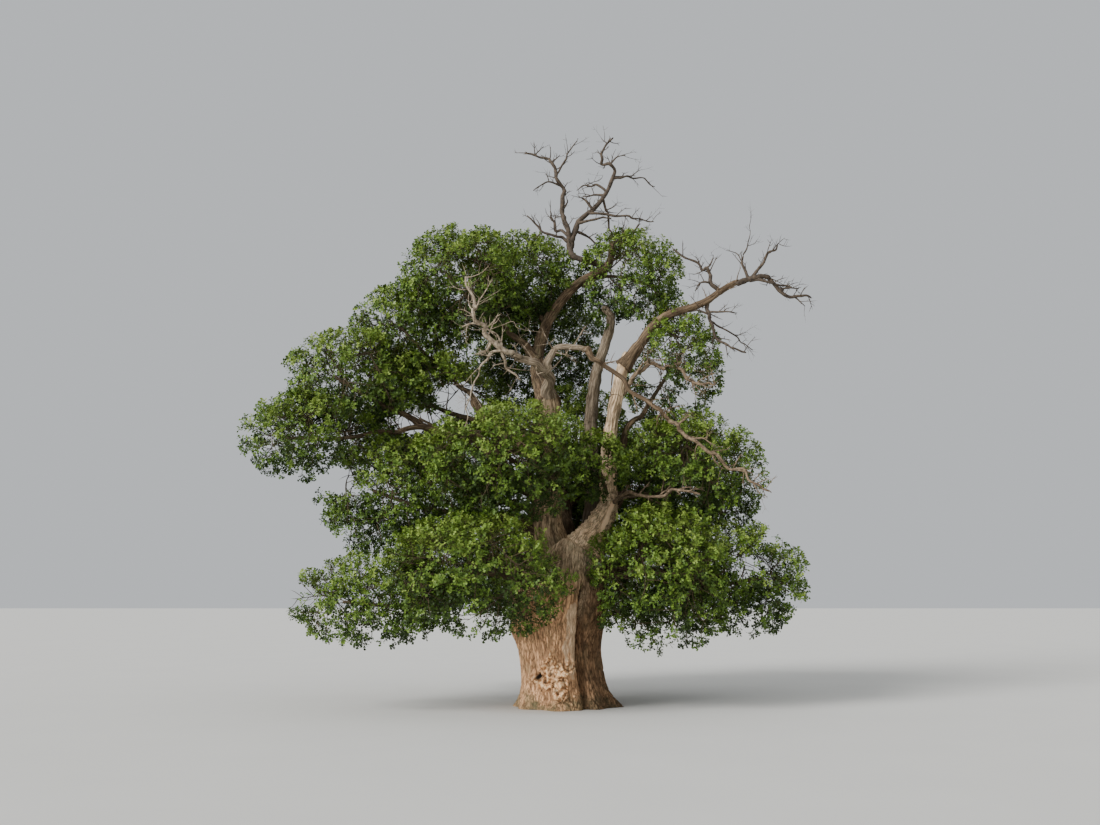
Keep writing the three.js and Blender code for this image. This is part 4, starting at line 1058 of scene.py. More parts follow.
def make_limb(name, carrier, settings, material, barked):
    """One limb: rings of its taper round its line, with a soft join to its carrier, lumps, and bark
    furrows or the long shallow grooves of bare wood, darkened with painted shade. The right stem also has
    folds and a bare strip, both stems have their half of the slot between them, darkened with painted
    shade, and the snag has painted shade on its lower part."""
    line = lines[name]
    taper = tapers[name]
    seed = seed_of(name)
    length = length_of(line)
    thick = taper(LIMB_STEP["girth_at"])
    columns = int(np.clip(2 * np.pi * thick / LIMB_STEP["around"], *LIMB_COLUMNS))
    rows = int(np.clip(length / LIMB_STEP["along"], *LIMB_ROWS))
    share = np.linspace(0, 1, rows)
    middle, outward = rings_round(line, share, columns)
    tip_share = np.clip((share - END_ROUND) / (1 - END_ROUND), 0, 1)
    rounded = taper(share) * np.sqrt(1 - TIP_ROUNDING * tip_share ** 2)
    radius = np.broadcast_to(rounded[:, None], (rows, columns))
    smooth = middle + outward * radius[..., None]
    flat = smooth.reshape(-1, 3)
    gap = gap_to_trunk(flat) if carrier == "trunk" else gap_to_limb(flat, carrier)
    full = np.minimum(1, taper(FULL_LIMB["at"]) / FULL_LIMB["radius"])
    turn = 2 * np.pi * (np.arange(columns) / columns)
    along = np.broadcast_to((share * length)[:, None], (rows, columns))
    grain = np.stack((radius * np.cos(turn), radius * np.sin(turn), along), axis=-1)
    lump_size = max(LIMB_LUMPS["smallest"], LIMB_LUMPS["size"] * thick)
    lumps = cloud(grain, lump_size, seed) * LIMB_LUMPS["height"] * radius
    bare = np.full_like(radius, not barked)
    deep, depth = limb_relief(settings, barked, radius, grain, full, seed)
    if name == "stem_right":
        bare = strip_on_stem(smooth, outward[..., 1] < 0)
        low_down = 1 - smooth_step(smooth[..., 2], *FOLDS["top"])
        deep = deep * (1 - bare) * mix(1, FOLDS["furrows"], low_down)
        lumps = lumps + folds_across(smooth) * (1 - bare)
    shape = radius + fillet(gap).reshape(radius.shape) * full + lumps - depth * deep
    if name in ("stem_left", "stem_right"):
        away = (smooth - CROTCH_SLOT["place"]) / CROTCH_SLOT["size"]
        in_slot = bump(np.linalg.norm(away, axis=-1), CROTCH_SLOT["width"])
        shape = shape - CROTCH_SLOT["depth"] * in_slot
        # Painted shade fills the slot
        deep = np.maximum(deep, in_slot / FURROW_SHADE)
    # Painted shade on the snag's lower part
    if name == "snag":
        deep = np.maximum(deep, 1 - smooth_step(middle[..., 2], *SNAG_SHADE))
    vertices, faces = sleeve(middle + outward * np.maximum(shape, LEAST_LIMB)[..., None])
    # Painted shade: `dark` darkens the furrows or grooves, the slot and the snag's lower part
    values = {
        "grain": grain, "bare": bare, "burr": np.zeros_like(radius), "dark": deep * FURROW_SHADE,
        "pale": np.full_like(radius, name == "stem_right"),
    }
    values = {key: with_ends(value) for key, value in values.items()}
    if name in SPURRED:
        vertices, faces, values = with_spurs(name, vertices, faces, values, seed)
    make_piece(name + "_wood", vertices, faces, [material], [name], values=values)


def heading_of(heading, lean):
    """(sin h cos l, sin l, cos h cos l), in degrees: a heading seen from the front, leaning away."""
    heading, lean = np.radians(heading), np.radians(lean)
    return np.stack((np.sin(heading) * np.cos(lean), np.sin(lean) + 0 * heading,
                     np.cos(heading) * np.cos(lean)), axis=-1)


def make_bare_mass(name, mass, material):
    """A bare mass: its stem, its twigs by the source's rule, and spurs on all of them."""
    seed = seed_of(name)
    parts = [{"line": lines[name], "radii": mass["radii"]}]
    for index, (parent, at, heading, length, curl) in enumerate(mass["twigs"]):
        lean = TWIG_LEAN * (chance(seed, index) - 0.5) * 2
        onward = lean * (chance(seed, index + 50) - 0.5) * 2
        carrier = parts[parent]
        foot = carrier["line"].points(at)[0]
        thick = mix(*carrier["radii"], at) * (1 if at == 1 else TWIG_SHARE)
        bend = foot + heading_of(heading, lean) * length / 2
        tip = bend + heading_of(heading + curl, onward) * length / 2
        line = Gnarled(Bend(foot, bend, tip), seed + 5 * index)
        parts.append({"line": line, "radii": (thick, thick * TWIG_TAPER)})
    rule = LONG_SPURS if name in LONG_SPURRED else SPURS
    tubes = [bare_tube(part["line"], part["radii"], seed + order) for order, part in enumerate(parts)]
    for order, part in enumerate(parts):
        tubes.append(spurs_on(part["line"], part["radii"], seed + 7 * order, rule))
    vertices, faces = joined(tubes)
    make_piece(name + "_twigs", vertices, faces, [material], [name])


def bare_tube(line, radii, seed):
    """A bare stem or twig: rings of an even taper round its line, knotty by soft noise."""
    length = length_of(line)
    rows = int(np.clip(length / BARE_RINGS["step"], *BARE_RINGS["rows"]))
    columns = BARE_RINGS["columns"][int(radii[0] > BARE_RINGS["thick"])]
    share = np.linspace(0, 1, rows)
    middle, outward = rings_round(line, share, columns)
    knots = 1 + GNARL["knots"] * (chance(seed, np.arange(rows)) - GNARL["knots_in"])
    radius = mix(radii[0], radii[1] * BARE_RINGS["end"], share) * knots * GNARL["stout"]
    return sleeve(middle + outward * radius[:, None, None])


def spurs_on(line, radii, seed, rule):
    """Bent spurs along a bare stem or twig, turned round it by the golden angle, each of which carries
    a few finer ones."""
    count = max(3, int(length_of(line) * rule["per_metre"]))
    number = np.arange(count)
    share = mix(SPUR_START, 1, (number + chance(seed, number)) / count)
    first = kept_low(branch_curves(
        line.points(share), tangent(line, share), number, seed,
        rule["length"], rule["angle"], SPUR_LIFT, rule["curl"]))
    radius = np.minimum(mix(*radii, share) * SPUR_SHARES["parent"], rule["radius"])
    again = np.repeat(number, rule["again"])
    order = np.arange(len(again))
    at = mix(*FINER_SPURS["from"], chance(seed + 5, order))
    parents = tuple(ends[again] for ends in first)
    shorter = tuple(size * FINER_SPURS["length"] for size in rule["length"])
    second = kept_low(branch_curves(
        bend_points(*parents, at), bend_tangents(*parents, at), order, seed + 9,
        shorter, rule["angle"], FINER_LIFT, rule["curl"]))
    thick = twig_tubes(*first, radius, radius * SPUR_SHARES["tip"], 4, 5)
    finer = radius[again]
    thin = twig_tubes(*second, finer * SPUR_SHARES["finer"], finer * SPUR_SHARES["finer_tip"], 3, 3)
    return joined([thick, thin])


def kept_low(curves):
    """Curves drawn in towards their feet where their tips would pass the top of the tree."""
    foot, bend, tip = curves
    rise = np.maximum(tip[:, 2] - foot[:, 2], 1e-6)
    shrink = np.clip((SPUR_TOP - foot[:, 2]) / rise, SHORTEST_SPUR, 1)[:, None]
    return foot, foot + (bend - foot) * shrink, foot + (tip - foot) * shrink


def branch_curves(feet, ahead, order, seed, lengths, angles, lift, curl=TWIG_CURL):
    """Twigs that leave their parents at an angle, turned round them by the golden angle times their
    order, bend on upwards and curl to a side by chance. Returns their feet, bends and tips."""
    side, other = frames_along(ahead)
    number = order + 17 * np.arange(len(feet))
    turn = (GOLDEN_ANGLE * order + TWIG_LUCK * chance(seed, number + 4))[:, None]
    spread = np.radians(mix(*angles, chance(seed + 1, number)))[:, None]
    length = mix(*lengths, chance(seed + 2, number))[:, None]
    across = np.cos(turn) * side + np.sin(turn) * other
    way = unit(np.cos(spread) * ahead + np.sin(spread) * across + lift * UP)
    bend = feet + way * length / 2
    jitter = (chance(seed + 3, number[:, None] * 3 + np.arange(3)) - 0.5) * curl
    onward = unit(way + TWIG_ONWARD * ahead + lift * UP + jitter)
    return feet, bend, bend + onward * length / 2


def room_to_skin(space, points, ways):
    """How far it is from points inside an ellipsoid to its skin, going one way each."""
    middle, half = space
    start = (points - middle) / half
    step = ways / half
    along = np.sum(start * step, axis=1)
    size = np.sum(step * step, axis=1)
    inside = along * along - size * (np.sum(start * start, axis=1) - 1)
    return (np.sqrt(np.maximum(0, inside)) - along) / size


def depth_in(space, points):
    """Share of the way from the middle of an ellipsoid to its skin, for points."""
    middle, half = space
    return np.linalg.norm((points - middle) / half, axis=1)


def aim_of(index, count, outward):
    """Aim of one shoot of many: directions spread evenly over a sphere by the golden angle, turned so
    that the one that is nearest to level points the outward way."""
    level = round(count / (1 - LOWEST_AIM) - 0.5)
    height = mix(1, LOWEST_AIM, (index + 0.5) / count)
    flat = np.sqrt(1 - height * height)
    around = GOLDEN_ANGLE * (index - level) + outward
    return np.array((flat * np.cos(around), flat * np.sin(around), height))


def grow_shoots(name, space, stem, count):
    """Shoots to all sides of a space. Each leaves the free place on the stem or on an earlier shoot
    where distance x (1 + turn) is least. Returns their feet, bends and tips."""
    middle, half = space
    seed = seed_of(name)
    free = list(zip(stem.points(STEM_SHARES), tangent(stem, STEM_SHARES)))
    shoots = []
    for index in range(count):
        aim = aim_of(index, count, np.arctan2(middle[1], middle[0]))
        reach = mix(*SHOOT_REACH, chance(seed, 400 * (index + 1)))
        goal = middle + aim * half * reach
        places = np.array([place for place, _ in free])
        ways = np.array([way for _, way in free])
        to_goal = goal - places
        distance = np.linalg.norm(to_goal, axis=1)
        turn = np.arccos(np.clip(np.sum(unit(to_goal) * ways, axis=1), -1, 1))
        best = int(np.argmin(distance * (1 + turn)))
        foot, way = free.pop(best)
        bend = foot + unit(way + SHOOT_TURN * unit(goal - foot)) * distance[best] * 0.5
        shoots.append((foot, bend, goal))
        line = Bend(foot, bend, goal)
        free += list(zip(line.points(SHOOT_SHARES), tangent(line, SHOOT_SHARES)))
    return tuple(np.array(ends) for ends in zip(*shoots))


def branch_off(parents, rule, space, seed):
    """Finer twigs on bent parents: `count` of them from share `first` on, each shortened to the room
    left inside the space. Returns their curves and which ones are worth keeping."""
    count = rule["count"]
    foot, bend, tip = (np.repeat(ends, count, axis=0) for ends in parents)
    order = np.tile(np.arange(count), len(parents[0]))
    luck = chance(seed, np.arange(len(order)))
    share = mix(rule["first"], 1, (order + luck) / count)
    feet = bend_points(foot, bend, tip, share)
    ahead = bend_tangents(foot, bend, tip, share)
    curves = branch_curves(feet, ahead, order, seed, rule["length"], rule["angle"], rule["lift"])
    span = curves[2] - feet
    size = np.linalg.norm(span, axis=1)
    room = room_to_skin(space, feet, unit(span)) * SKIN
    shrink = np.minimum(1, room / size)[:, None]
    grown = tuple(feet + (ends - feet) * shrink for ends in curves)
    keep = (shrink[:, 0] > SHORTEST) & ~in_sky(grown[2]) & ~in_sky(grown[1])
    return tuple(ends[keep] for ends in grown)


def in_sky(points):
    """Whether points lie in one of the openings. Each point is moved along its line of sight to the
    upright plane through the trunk, and the edge of an opening wanders with soft noise."""
    eye = np.array(CAMERA["place"])
    onto = eye[1] / (eye[1] - points[:, 1])
    x = eye[0] + (points[:, 0] - eye[0]) * onto
    z = eye[2] + (points[:, 2] - eye[2]) * onto
    ragged = SKY_EDGE["wander"] * cloud(points, SKY_EDGE["size"], NOISE_SEEDS["sky"])
    found = np.zeros(len(points), bool)
    for (middle_x, middle_z), (half_x, half_z) in SKY:
        found |= np.hypot((x - middle_x) / half_x, (z - middle_z) / half_z) + ragged < 1
    return found


def in_clump(points, openness, seed):
    """Whether points lie in the clumps that the foliage hangs in: where soft noise is over a level
    that rises with openness, from 0 for none left out to 1 for most."""
    return rough_cloud(points, CLUMP, seed) > mix(*CLUMP["levels"], openness)


def mass_stem(mass):
    """The stem of a mass: it carries on from the tip of its bough, or leaves the side of a limb, and
    bends towards the middle of the space and a third of the way beyond it."""
    carrier = lines[mass.get("bough", mass["from"])]
    at = BOUGH_END if "bough" in mass else mass["at"]
    middle = np.array(mass["middle"])
    foot = carrier.points(at)[0]
    inward = middle - foot
    axis = unit(inward)
    deep = STEM_REACH / np.linalg.norm(axis / mass["half"])
    start = tangent(carrier, at)[0] if "bough" in mass else unit(axis + UP * STEM_LIFT)
    return Bend(foot, foot + start * np.linalg.norm(inward) / 2, middle + axis * deep)


def make_leaf_mass(name, mass, settings, materials, twig_material):
    """A leaf mass: its stem, shoots, side twigs and twiglets joined as one piece, its leaves as
    another. The number of shoots goes with (product of the half sizes)^(2/3)."""
    seed = seed_of(name)
    space = np.array(mass["middle"]), np.array(mass["half"])
    stem = mass_stem(mass)
    size = np.prod(space[1]) ** (2 / 3)
    count = int(round(settings.shoot_density * size * mass.get("dense", 1)))
    shoots = grow_shoots(name, space, stem, count)
    sides = branch_off(shoots, SIDE_TWIGS, space, seed + 11)
    twiglets = branch_off(sides, TWIGLETS, space, seed + 23)
    kept = depth_in(space, twiglets[2]) > (0 if name in SPRAYS else DEEPEST_LEAF)
    kept &= in_clump(twiglets[2], OPENNESS.get(name, CLUMP["open"]), seed)
    twiglets = tuple(ends[kept] for ends in twiglets)
    node = mass.get("node", name)
    foot_radius = mass["radii"][1] if "bough" in mass else mass["stem"]
    thickness = np.linalg.norm(shoots[2] - shoots[0], axis=1) * SHOOT_TAPER["per_metre"]
    thickness = np.clip(thickness, SHOOT_TAPER["least"], SHOOT_TAPER["most"])
    wood = [
        stem_tube(stem, foot_radius),
        twig_tubes(*shoots, thickness, thickness * SHOOT_TAPER["tip"], 5, 5),
    ]
    for curves, rule in ((sides, SIDE_TWIGS), (twiglets, TWIGLETS)):
        wood.append(twig_tubes(*curves, rule["radius"], rule["radius"] * rule["tip"], 3, rule["steps"]))
    vertices, faces = joined(wood)
    make_piece("twigs_" + name, vertices, faces, [twig_material], [node])
    vertices, triangles, kinds = leaves_on(twiglets, space, seed, settings)
    make_piece("leaves_" + name, vertices, [triangles], materials, [node], smooth=False,
               kinds=kinds)


def stem_tube(stem, foot_radius):
    """The stem of a leaf mass as a round tube with an even taper."""
    share = np.linspace(0, 1, STEM_RINGS)
    middle, outward = rings_round(stem, share, STEM_COLUMNS)
    return sleeve(middle + outward * mix(foot_radius, STEM_TIP, share)[:, None, None])


def leaf_shape():
    """Corners and triangles of one leaf of unit length: two pointed lobes on either side of its midrib,
    raised a little, drooping by LEAF_DROOP x^2."""
    lobes = np.array(LEAF_LOBES)
    shape = np.vstack(((0, 0, 0), (LEAF_NOTCH, 0, 0), (1, 0, 0), lobes, lobes * (1, -1, 1)))
    corners = np.array([(0, 1, 3), (1, 2, 4), (0, 5, 1), (1, 6, 2)])
    return shape - np.outer(shape[:, 0] ** 2, (0, 0, LEAF_DROOP)), corners


def leaves_on(twiglets, space, seed, settings):
    """Leaves along every twiglet and in a rosette at its tip. The green goes by spray and leaf: partly by
    chance, partly paler outside and on top and deeper inside, which is painted light and painted shade."""
    per = len(LEAF_SHARES)
    count = len(twiglets[0])
    foot, bend, tip = (np.repeat(ends, per, axis=0) for ends in twiglets)
    share = np.tile(LEAF_SHARES, count)
    neck = bend_points(foot, bend, tip, share)
    ahead = bend_tangents(foot, bend, tip, share)
    number = np.arange(len(neck))
    spray = number // per
    side, other = frames_along(ahead)
    turn = (GOLDEN_ANGLE * (number % per) + LEAF_TURN * chance(seed, spray))[:, None]
    spread = np.radians(mix(*LEAF_ANGLE, chance(seed + 1, number)))[:, None]
    way = unit(np.cos(spread) * ahead + np.sin(spread) * (np.cos(turn) * side + np.sin(turn) * other))
    outward = unit((neck - space[0]) / space[1])
    luck = chance(seed + 2, number[:, None] * 3 + np.arange(3)) - 0.5
    spray_luck = chance(seed + 6, spray[:, None] * 3 + np.arange(3)) - 0.5
    face = LEAF_FACING["up"] * UP + LEAF_FACING["outward"] * outward
    face = unit(face + LEAF_FACING["spray"] * spray_luck + LEAF_FACING["leaf"] * luck)
    width = unit(np.cross(way, face))
    ridge = np.cross(width, way)
    size = settings.leaf_length * mix(*LEAF_SIZES, chance(seed + 3, number))[:, None]
    shape, corners = leaf_shape()
    points = neck[:, None] + size[:, None] * (
        shape[:, :1] * way[:, None] + shape[:, 1:2] * width[:, None] + shape[:, 2:] * ridge[:, None])
    triangles = (corners[None] + (number * len(shape))[:, None, None]).reshape(-1, 3)
    fresh = GREEN_RULE["spray"] * chance(seed + 4, spray) + GREEN_RULE["leaf"] * chance(seed + 5, number)
    fresh = fresh - GREEN_RULE["middle"]
    # Painted light and painted shade: paler outside and on top of the mass, deeper inside
    level = GREEN_RULE["depth"] * depth_in(space, tip) + GREEN_RULE["height"] * outward[:, 2] + fresh
    return points.reshape(-1, 3), triangles, np.repeat(np.digitize(level, GREEN_STEPS), len(corners))


def new_node(tree, kind, **settings):
    """A node of a material with its settings. Names of inputs are given in `inputs`."""
    node = tree.nodes.new(kind)
    for name, value in settings.pop("inputs", {}).items():
        node.inputs[name].default_value = value
    for name, value in settings.items():
        setattr(node, name, value)
    return node


def plain_material(name, colour, roughness):
    """One plain finish, with its values on the shader's own sockets."""
    material, _, shader = new_material(name, roughness, PLAIN_SHINE)
    shader.inputs["Base Color"].default_value = (*colour, 1)
    return material


def ramp(tree, source, places, colours):
    """The colours that a value gets on a ramp, with one colour at each of its places."""
    node = tree.nodes.new("ShaderNodeValToRGB")
    elements = node.color_ramp.elements
    while len(elements) < len(places):
        elements.new(0.5)
    for element, place, colour in zip(elements, places, colours):
        element.position = place
        element.color = (*colour, 1)
    tree.links.new(source, node.inputs["Fac"])
    return node.outputs["Color"]


def carried(tree, name, output="Fac"):
    """One of the values that a piece carries on its vertices."""
    return new_node(tree, "ShaderNodeAttribute", attribute_name=name).outputs[output]


def stretched(tree, source, scale):
    """A pattern's coordinates, scaled on each axis."""
    node = new_node(tree, "ShaderNodeMapping", inputs={"Scale": scale})
    tree.links.new(source, node.inputs["Vector"])
    return node.outputs["Vector"]


def noise(tree, source, scale, detail=4.0, roughness=0.55):
    """A noise pattern on given coordinates."""
    node = new_node(tree, "ShaderNodeTexNoise",
                    inputs={"Scale": scale, "Detail": detail, "Roughness": roughness})
    tree.links.new(source, node.inputs["Vector"])
    return node.outputs["Fac"]


def mixed(tree, share, first, second, **settings):
    """Two colours mixed by a share, each a colour or what a node gives."""
    node = new_node(tree, "ShaderNodeMix", data_type="RGBA", **settings)
    for source, socket in ((share, node.inputs[0]), (first, node.inputs[6]), (second, node.inputs[7])):
        if isinstance(source, tuple):
            socket.default_value = (*source, 1)
        elif isinstance(source, float):
            socket.default_value = source
        else:
            tree.links.new(source, socket)
    return node.outputs[2]


def scaled(tree, source, factor, operation="MULTIPLY"):
    """A value multiplied by a factor, or changed by another operation with it."""
    node = new_node(tree, "ShaderNodeMath", operation=operation, use_clamp=True)
    tree.links.new(source, node.inputs[0])
    if isinstance(factor, (int, float)):
        node.inputs[1].default_value = factor
    else:
        tree.links.new(factor, node.inputs[1])
    return node.outputs[0]


def new_material(name, roughness, shine):
    """An empty material with its node tree and its shader."""
    material = bpy.data.materials.new(name)
    material.use_nodes = True
    tree = material.node_tree
    shader = tree.nodes["Principled BSDF"]
    shader.inputs["Roughness"].default_value = roughness
    if shine is not None:
        shader.inputs["Specular IOR Level"].default_value = shine
    return material, tree, shader


def raise_by(tree, shader, height, finish):
    """Lets a shader's surface rise and fall with a pattern, for the light only."""
    inputs = {"Strength": finish["strength"], "Distance": finish["distance"]}
    raised = new_node(tree, "ShaderNodeBump", inputs=inputs)
    tree.links.new(height, raised.inputs["Height"])
    tree.links.new(raised.outputs["Normal"], shader.inputs["Normal"])


def grain_noise(tree, grain, kind):
    """One of the bark's noise patterns, on coordinates that follow the wood."""
    rule = dict(BARK_NOISE[kind])
    stretch = rule.pop("stretch", None)
    return noise(tree, stretched(tree, grain, stretch) if stretch else grain, **rule)


def plate_colour(tree, settings, pattern, light, dark):
    """The plates of bark: between dark and light, the trunk's warm brown where `low` says so, and the
    right stem's paler bark where `pale` does."""
    upper = ramp(tree, pattern, RAMPS["plates"], (dark, light))
    warm = ramp(tree, pattern, RAMPS["plates"], tones(settings, "bark_dark", "bark_light"))
    right = ramp(tree, pattern, RAMPS["plates"], tones(settings, "right_dark", "right_light"))
    return mixed(tree, carried(tree, "pale"), mixed(tree, carried(tree, "low"), upper, warm), right)


def bark_colour(tree, settings, grain, plates, cracks):
    """Bark: plates darkened along the cracks, under a film of grey-green and some moss at the foot."""
    cracked = mixed(tree, 1.0, plates, cracks, blend_type="MULTIPLY")
    film = ramp(tree, grain_noise(tree, grain, "film"), RAMPS["film"], (BLACK, WHITE))
    moss = scaled(tree, carried(tree, "moss"), MOSS_SHARE)
    green = scaled(tree, scaled(tree, film, FILM_SHARE), moss, "ADD")
    return mixed(tree, green, cracked, tuple(settings.film_colour))


def wood_colour(tree, settings, grain, cracks, light, dark):
    """The wood under the bark: fine streaks and cracks, and knobs with rusty hollows where `burr` says
    so."""
    streaks = ramp(tree, grain_noise(tree, grain, "streaks"), RAMPS["streaks"], (dark, light))
    knob_colours = tones(settings, "rust_dark", "rust_colour", "burr_colour", "burr_light")
    knobs = ramp(tree, grain_noise(tree, grain, "knobs"), RAMPS["knobs"], knob_colours)
    split = mixed(tree, scaled(tree, cracks, 1.0), dark, streaks)
    return mixed(tree, carried(tree, "burr"), split, knobs)


def bark_material(name, settings, light, dark, wood_light, wood_dark):
    """Furrowed bark, and the wood under it in islands where `bare` says so, with rusty edges. The right
    stem's bare strip is paler, and painted shade darkens it all where `dark` says so."""
    material, tree, shader = new_material(name, BARK_FINISH["roughness"], BARK_FINISH["shine"])
    grain = carried(tree, "grain", "Vector")
    bare = carried(tree, "bare")
    broad = scaled(tree, grain_noise(tree, grain, "broad"), BARK_FINISH["broad"])
    fine = scaled(tree, grain_noise(tree, grain, "fine"), BARK_FINISH["fine"])
    pattern = scaled(tree, broad, fine, "ADD")
    crack_colours = (WHITE, FISSURE, FISSURE, WHITE)
    cracks = ramp(tree, grain_noise(tree, grain, "fissures"), RAMPS["cracks"], crack_colours)
    plates = plate_colour(tree, settings, pattern, light, dark)
    bark = bark_colour(tree, settings, grain, plates, cracks)
    wood = wood_colour(tree, settings, grain, cracks, wood_light, wood_dark)
    islands = ramp(tree, grain_noise(tree, grain, "islands"), RAMPS["islands"], (BLACK, WHITE))
    bared = mixed(tree, scaled(tree, bare, islands), bark, wood)
    edge = ramp(tree, bare, RAMPS["edge"], (BLACK, WHITE, BLACK))
    rusty = mixed(tree, scaled(tree, edge, RUST_SHARE), bared, tuple(settings.rust_colour))
    strip = scaled(tree, scaled(tree, carried(tree, "pale"), bare), STRIP_SHARE)
    light_wood = mixed(tree, strip, rusty, tuple(settings.strip_colour))
    # Painted shade: the shade colour laid over the bark and the wood where `dark` says so
    shaded = mixed(tree, carried(tree, "dark"), light_wood, tuple(settings.painted_shade_colour))
    tree.links.new(shaded, shader.inputs["Base Color"])
    raise_by(tree, shader, scaled(tree, cracks, fine, "ADD"), BARK_FINISH)
    return material


def bare_twig_material(name, light, dark):
    """Weathered twigs: grey-brown noise on the piece's own coordinates, with a little relief."""
    material, tree, shader = new_material(name, TWIG_FINISH["roughness"], None)
    place = tree.nodes.new("ShaderNodeTexCoord").outputs["Object"]
    pattern = noise(tree, place, **TWIG_NOISE)
    tree.links.new(ramp(tree, pattern, RAMPS["twigs"], (dark, light)), shader.inputs["Base Color"])
    raise_by(tree, shader, pattern, TWIG_FINISH)
    return material


def length_property(name, description, default):
    """A length in metres as a setting."""
    return FloatProperty(name=name, description=description, default=default, min=0.001, unit="LENGTH")


def colour_property(name, description, *numbers):
    """A colour as a setting, given by its three numbers on a screen."""
    return FloatVectorProperty(name=name, description=description, default=linear(*numbers), size=3,
                               min=0, max=1, subtype="COLOR")


def strength_property(name, description, default):
    """The strength of a light as a setting."""
    return FloatProperty(name=name, description=description, default=default)


def tones(settings, *names):
    """Colours out of the settings, by name."""
    return [tuple(getattr(settings, name)) for name in names]


class OakWoodSettings(bpy.types.PropertyGroup):
    """Sizes and colours of bark and bare wood."""

    furrow_spacing: length_property("Furrow spacing", "Distance between furrows round the trunk", 0.075)
    furrow_length: length_property("Furrow length", "Length of a ridge of bark", 0.42)
    furrow_depth: length_property("Furrow depth", "Depth of the furrows on the trunk", 0.032)
    bark_light: colour_property("Bark, plates", "Colour of the bark plates", 255, 202, 152)
    bark_dark: colour_property("Bark, shade", "Colour of the darker bark", 168, 126, 90)
    grey_light: colour_property("Upper bark, plates", "Colour of the bark of the limbs", 206, 178, 142)
    grey_dark: colour_property("Upper bark, shade", "Colour of its darker parts", 132, 112, 86)
    film_colour: colour_property("Film", "Colour of the green film on the bark", 96, 98, 70)
    # Colour of the painted shade in the furrows, the hollows, the slot and on the trunk's right side
    painted_shade_colour: colour_property("Furrows", "Colour deep in the furrows", 34, 27, 20)
    wood_light: colour_property("Bare wood, light", "Colour of the smooth wood", 240, 208, 172)
    wood_dark: colour_property("Bare wood, dark", "Colour of its grain", 150, 122, 94)
    burr_light: colour_property("Burr, tips", "Colour of the palest knobs of the burr", 255, 226, 182)
    burr_colour: colour_property("Burr", "Colour of the lumpy burr", 242, 192, 142)
    rust_colour: colour_property("Rusty edge", "Colour along the edge of the bark", 164, 118, 78)
    rust_dark: colour_property("Rust, dark", "Colour between the knobs of the burr", 104, 74, 50)
    dead_light: colour_property("Dead wood, light", "Colour of weathered limbs", 184, 166, 142)
    dead_dark: colour_property("Dead wood, dark", "Colour of their streaks", 98, 84, 66)
    right_light: colour_property("Right stem, light", "Colour of the right stem's bark", 255, 228, 190)
    right_dark: colour_property("Right stem, dark", "Colour of its darker parts", 204, 168, 128)
    strip_colour: colour_property("Right stem, strip", "Colour of its bare strip", 255, 220, 180)
    # Darker copies of the bark and the dead wood for the limbs and twigs up in the crown: painted shade
    shaded_brown_light: colour_property("Brown wood, light", "Colour of the shaded upper limbs", 142, 120, 94)
    shaded_brown_dark: colour_property("Brown wood, dark", "Colour of their darker parts", 72, 58, 43)
    shaded_twig_light: colour_property("Dark twigs, light", "Colour of the topmost twigs", 88, 74, 58)
    shaded_twig_dark: colour_property("Dark twigs, dark", "Colour of their darker parts", 44, 36, 28)
    twig_colour: colour_property("Live twigs", "Colour of the twigs in the leaves", 74, 62, 44)


class OakLeafSettings(bpy.types.PropertyGroup):
    """Sizes and colours of the leaves."""

    leaf_length: length_property("Leaf length", "Length of a middling leaf", 0.122)
    shoot_density: FloatProperty(name="Shoot density", description="Shoots for each square metre of a mass",
                                 default=8.4, min=1.0, max=14.0)
    # Greens by place: the deep one inside the crown is painted shade, the paler ones outside and on top are
    # painted light, mixed with chance
    deep_green: colour_property("Deep green", "Sprays inside the crown", 43, 60, 18)
    middle_green: colour_property("Middle green", "Most sprays", 71, 95, 29)
    fresh_green: colour_property("Fresh green", "Sprays on the outside", 97, 121, 42)
    bright_green: colour_property("Bright green", "Sprays on top", 117, 136, 56)


class OakStageSettings(bpy.types.PropertyGroup):
    """Floor and light around the tree."""

    floor_size: length_property("Floor size", "Side of the square floor", 500.0)
    floor_colour: colour_property("Floor", "Colour of the floor", 216, 214, 208)
    sky_colour: colour_property("Dome", "Colour of the dome of light", 232, 236, 240)
    dome_strength: strength_property("Dome strength", "Light from all around", 0.74)
    key_strength: strength_property("Key strength", "Soft light from the upper left", 3.1)
    fill_strength: strength_property("Fill strength", "Low soft light from the left", 2.9)
    key_spread: IntProperty(name="Key softness", description="How wide the soft light is, in degrees",
                            default=25)


class OakTrunk(bpy.types.Operator):
    """Make the trunk with its bark, cleft and burr"""

    bl_idname = "oak.trunk"
    bl_label = "Trunk"

    def execute(self, context):
        settings = context.scene.oak_wood
        colours = tones(settings, "grey_light", "grey_dark", "wood_light", "wood_dark")
        make_trunk(settings, bark_material("trunk_bark", settings, *colours))
        return {"FINISHED"}


class OakLimbs(bpy.types.Operator):
    """Make the living stems and boughs"""

    bl_idname = "oak.limbs"
    bl_label = "Stems and boughs"

    def execute(self, context):
        settings = context.scene.oak_wood
        wood = tones(settings, "wood_light", "wood_dark")
        grey = bark_material("limb_bark", settings, *tones(settings, "grey_light", "grey_dark"), *wood)
        # The brown copy of the bark on stem_back, the leader and the boughs is painted shade
        brown = bark_material("bough_bark", settings, *tones(settings, "shaded_brown_light", "shaded_brown_dark"), *wood)
        for name in LIVE_LIMBS:
            material = grey if name in ("stem_left", "stem_right") else brown
            make_limb(name, LIMBS[name]["from"], settings, material, True)
        for mass in MASSES.values():
            if "bough" in mass:
                make_limb(mass["bough"], mass["from"], settings, brown, True)
        return {"FINISHED"}


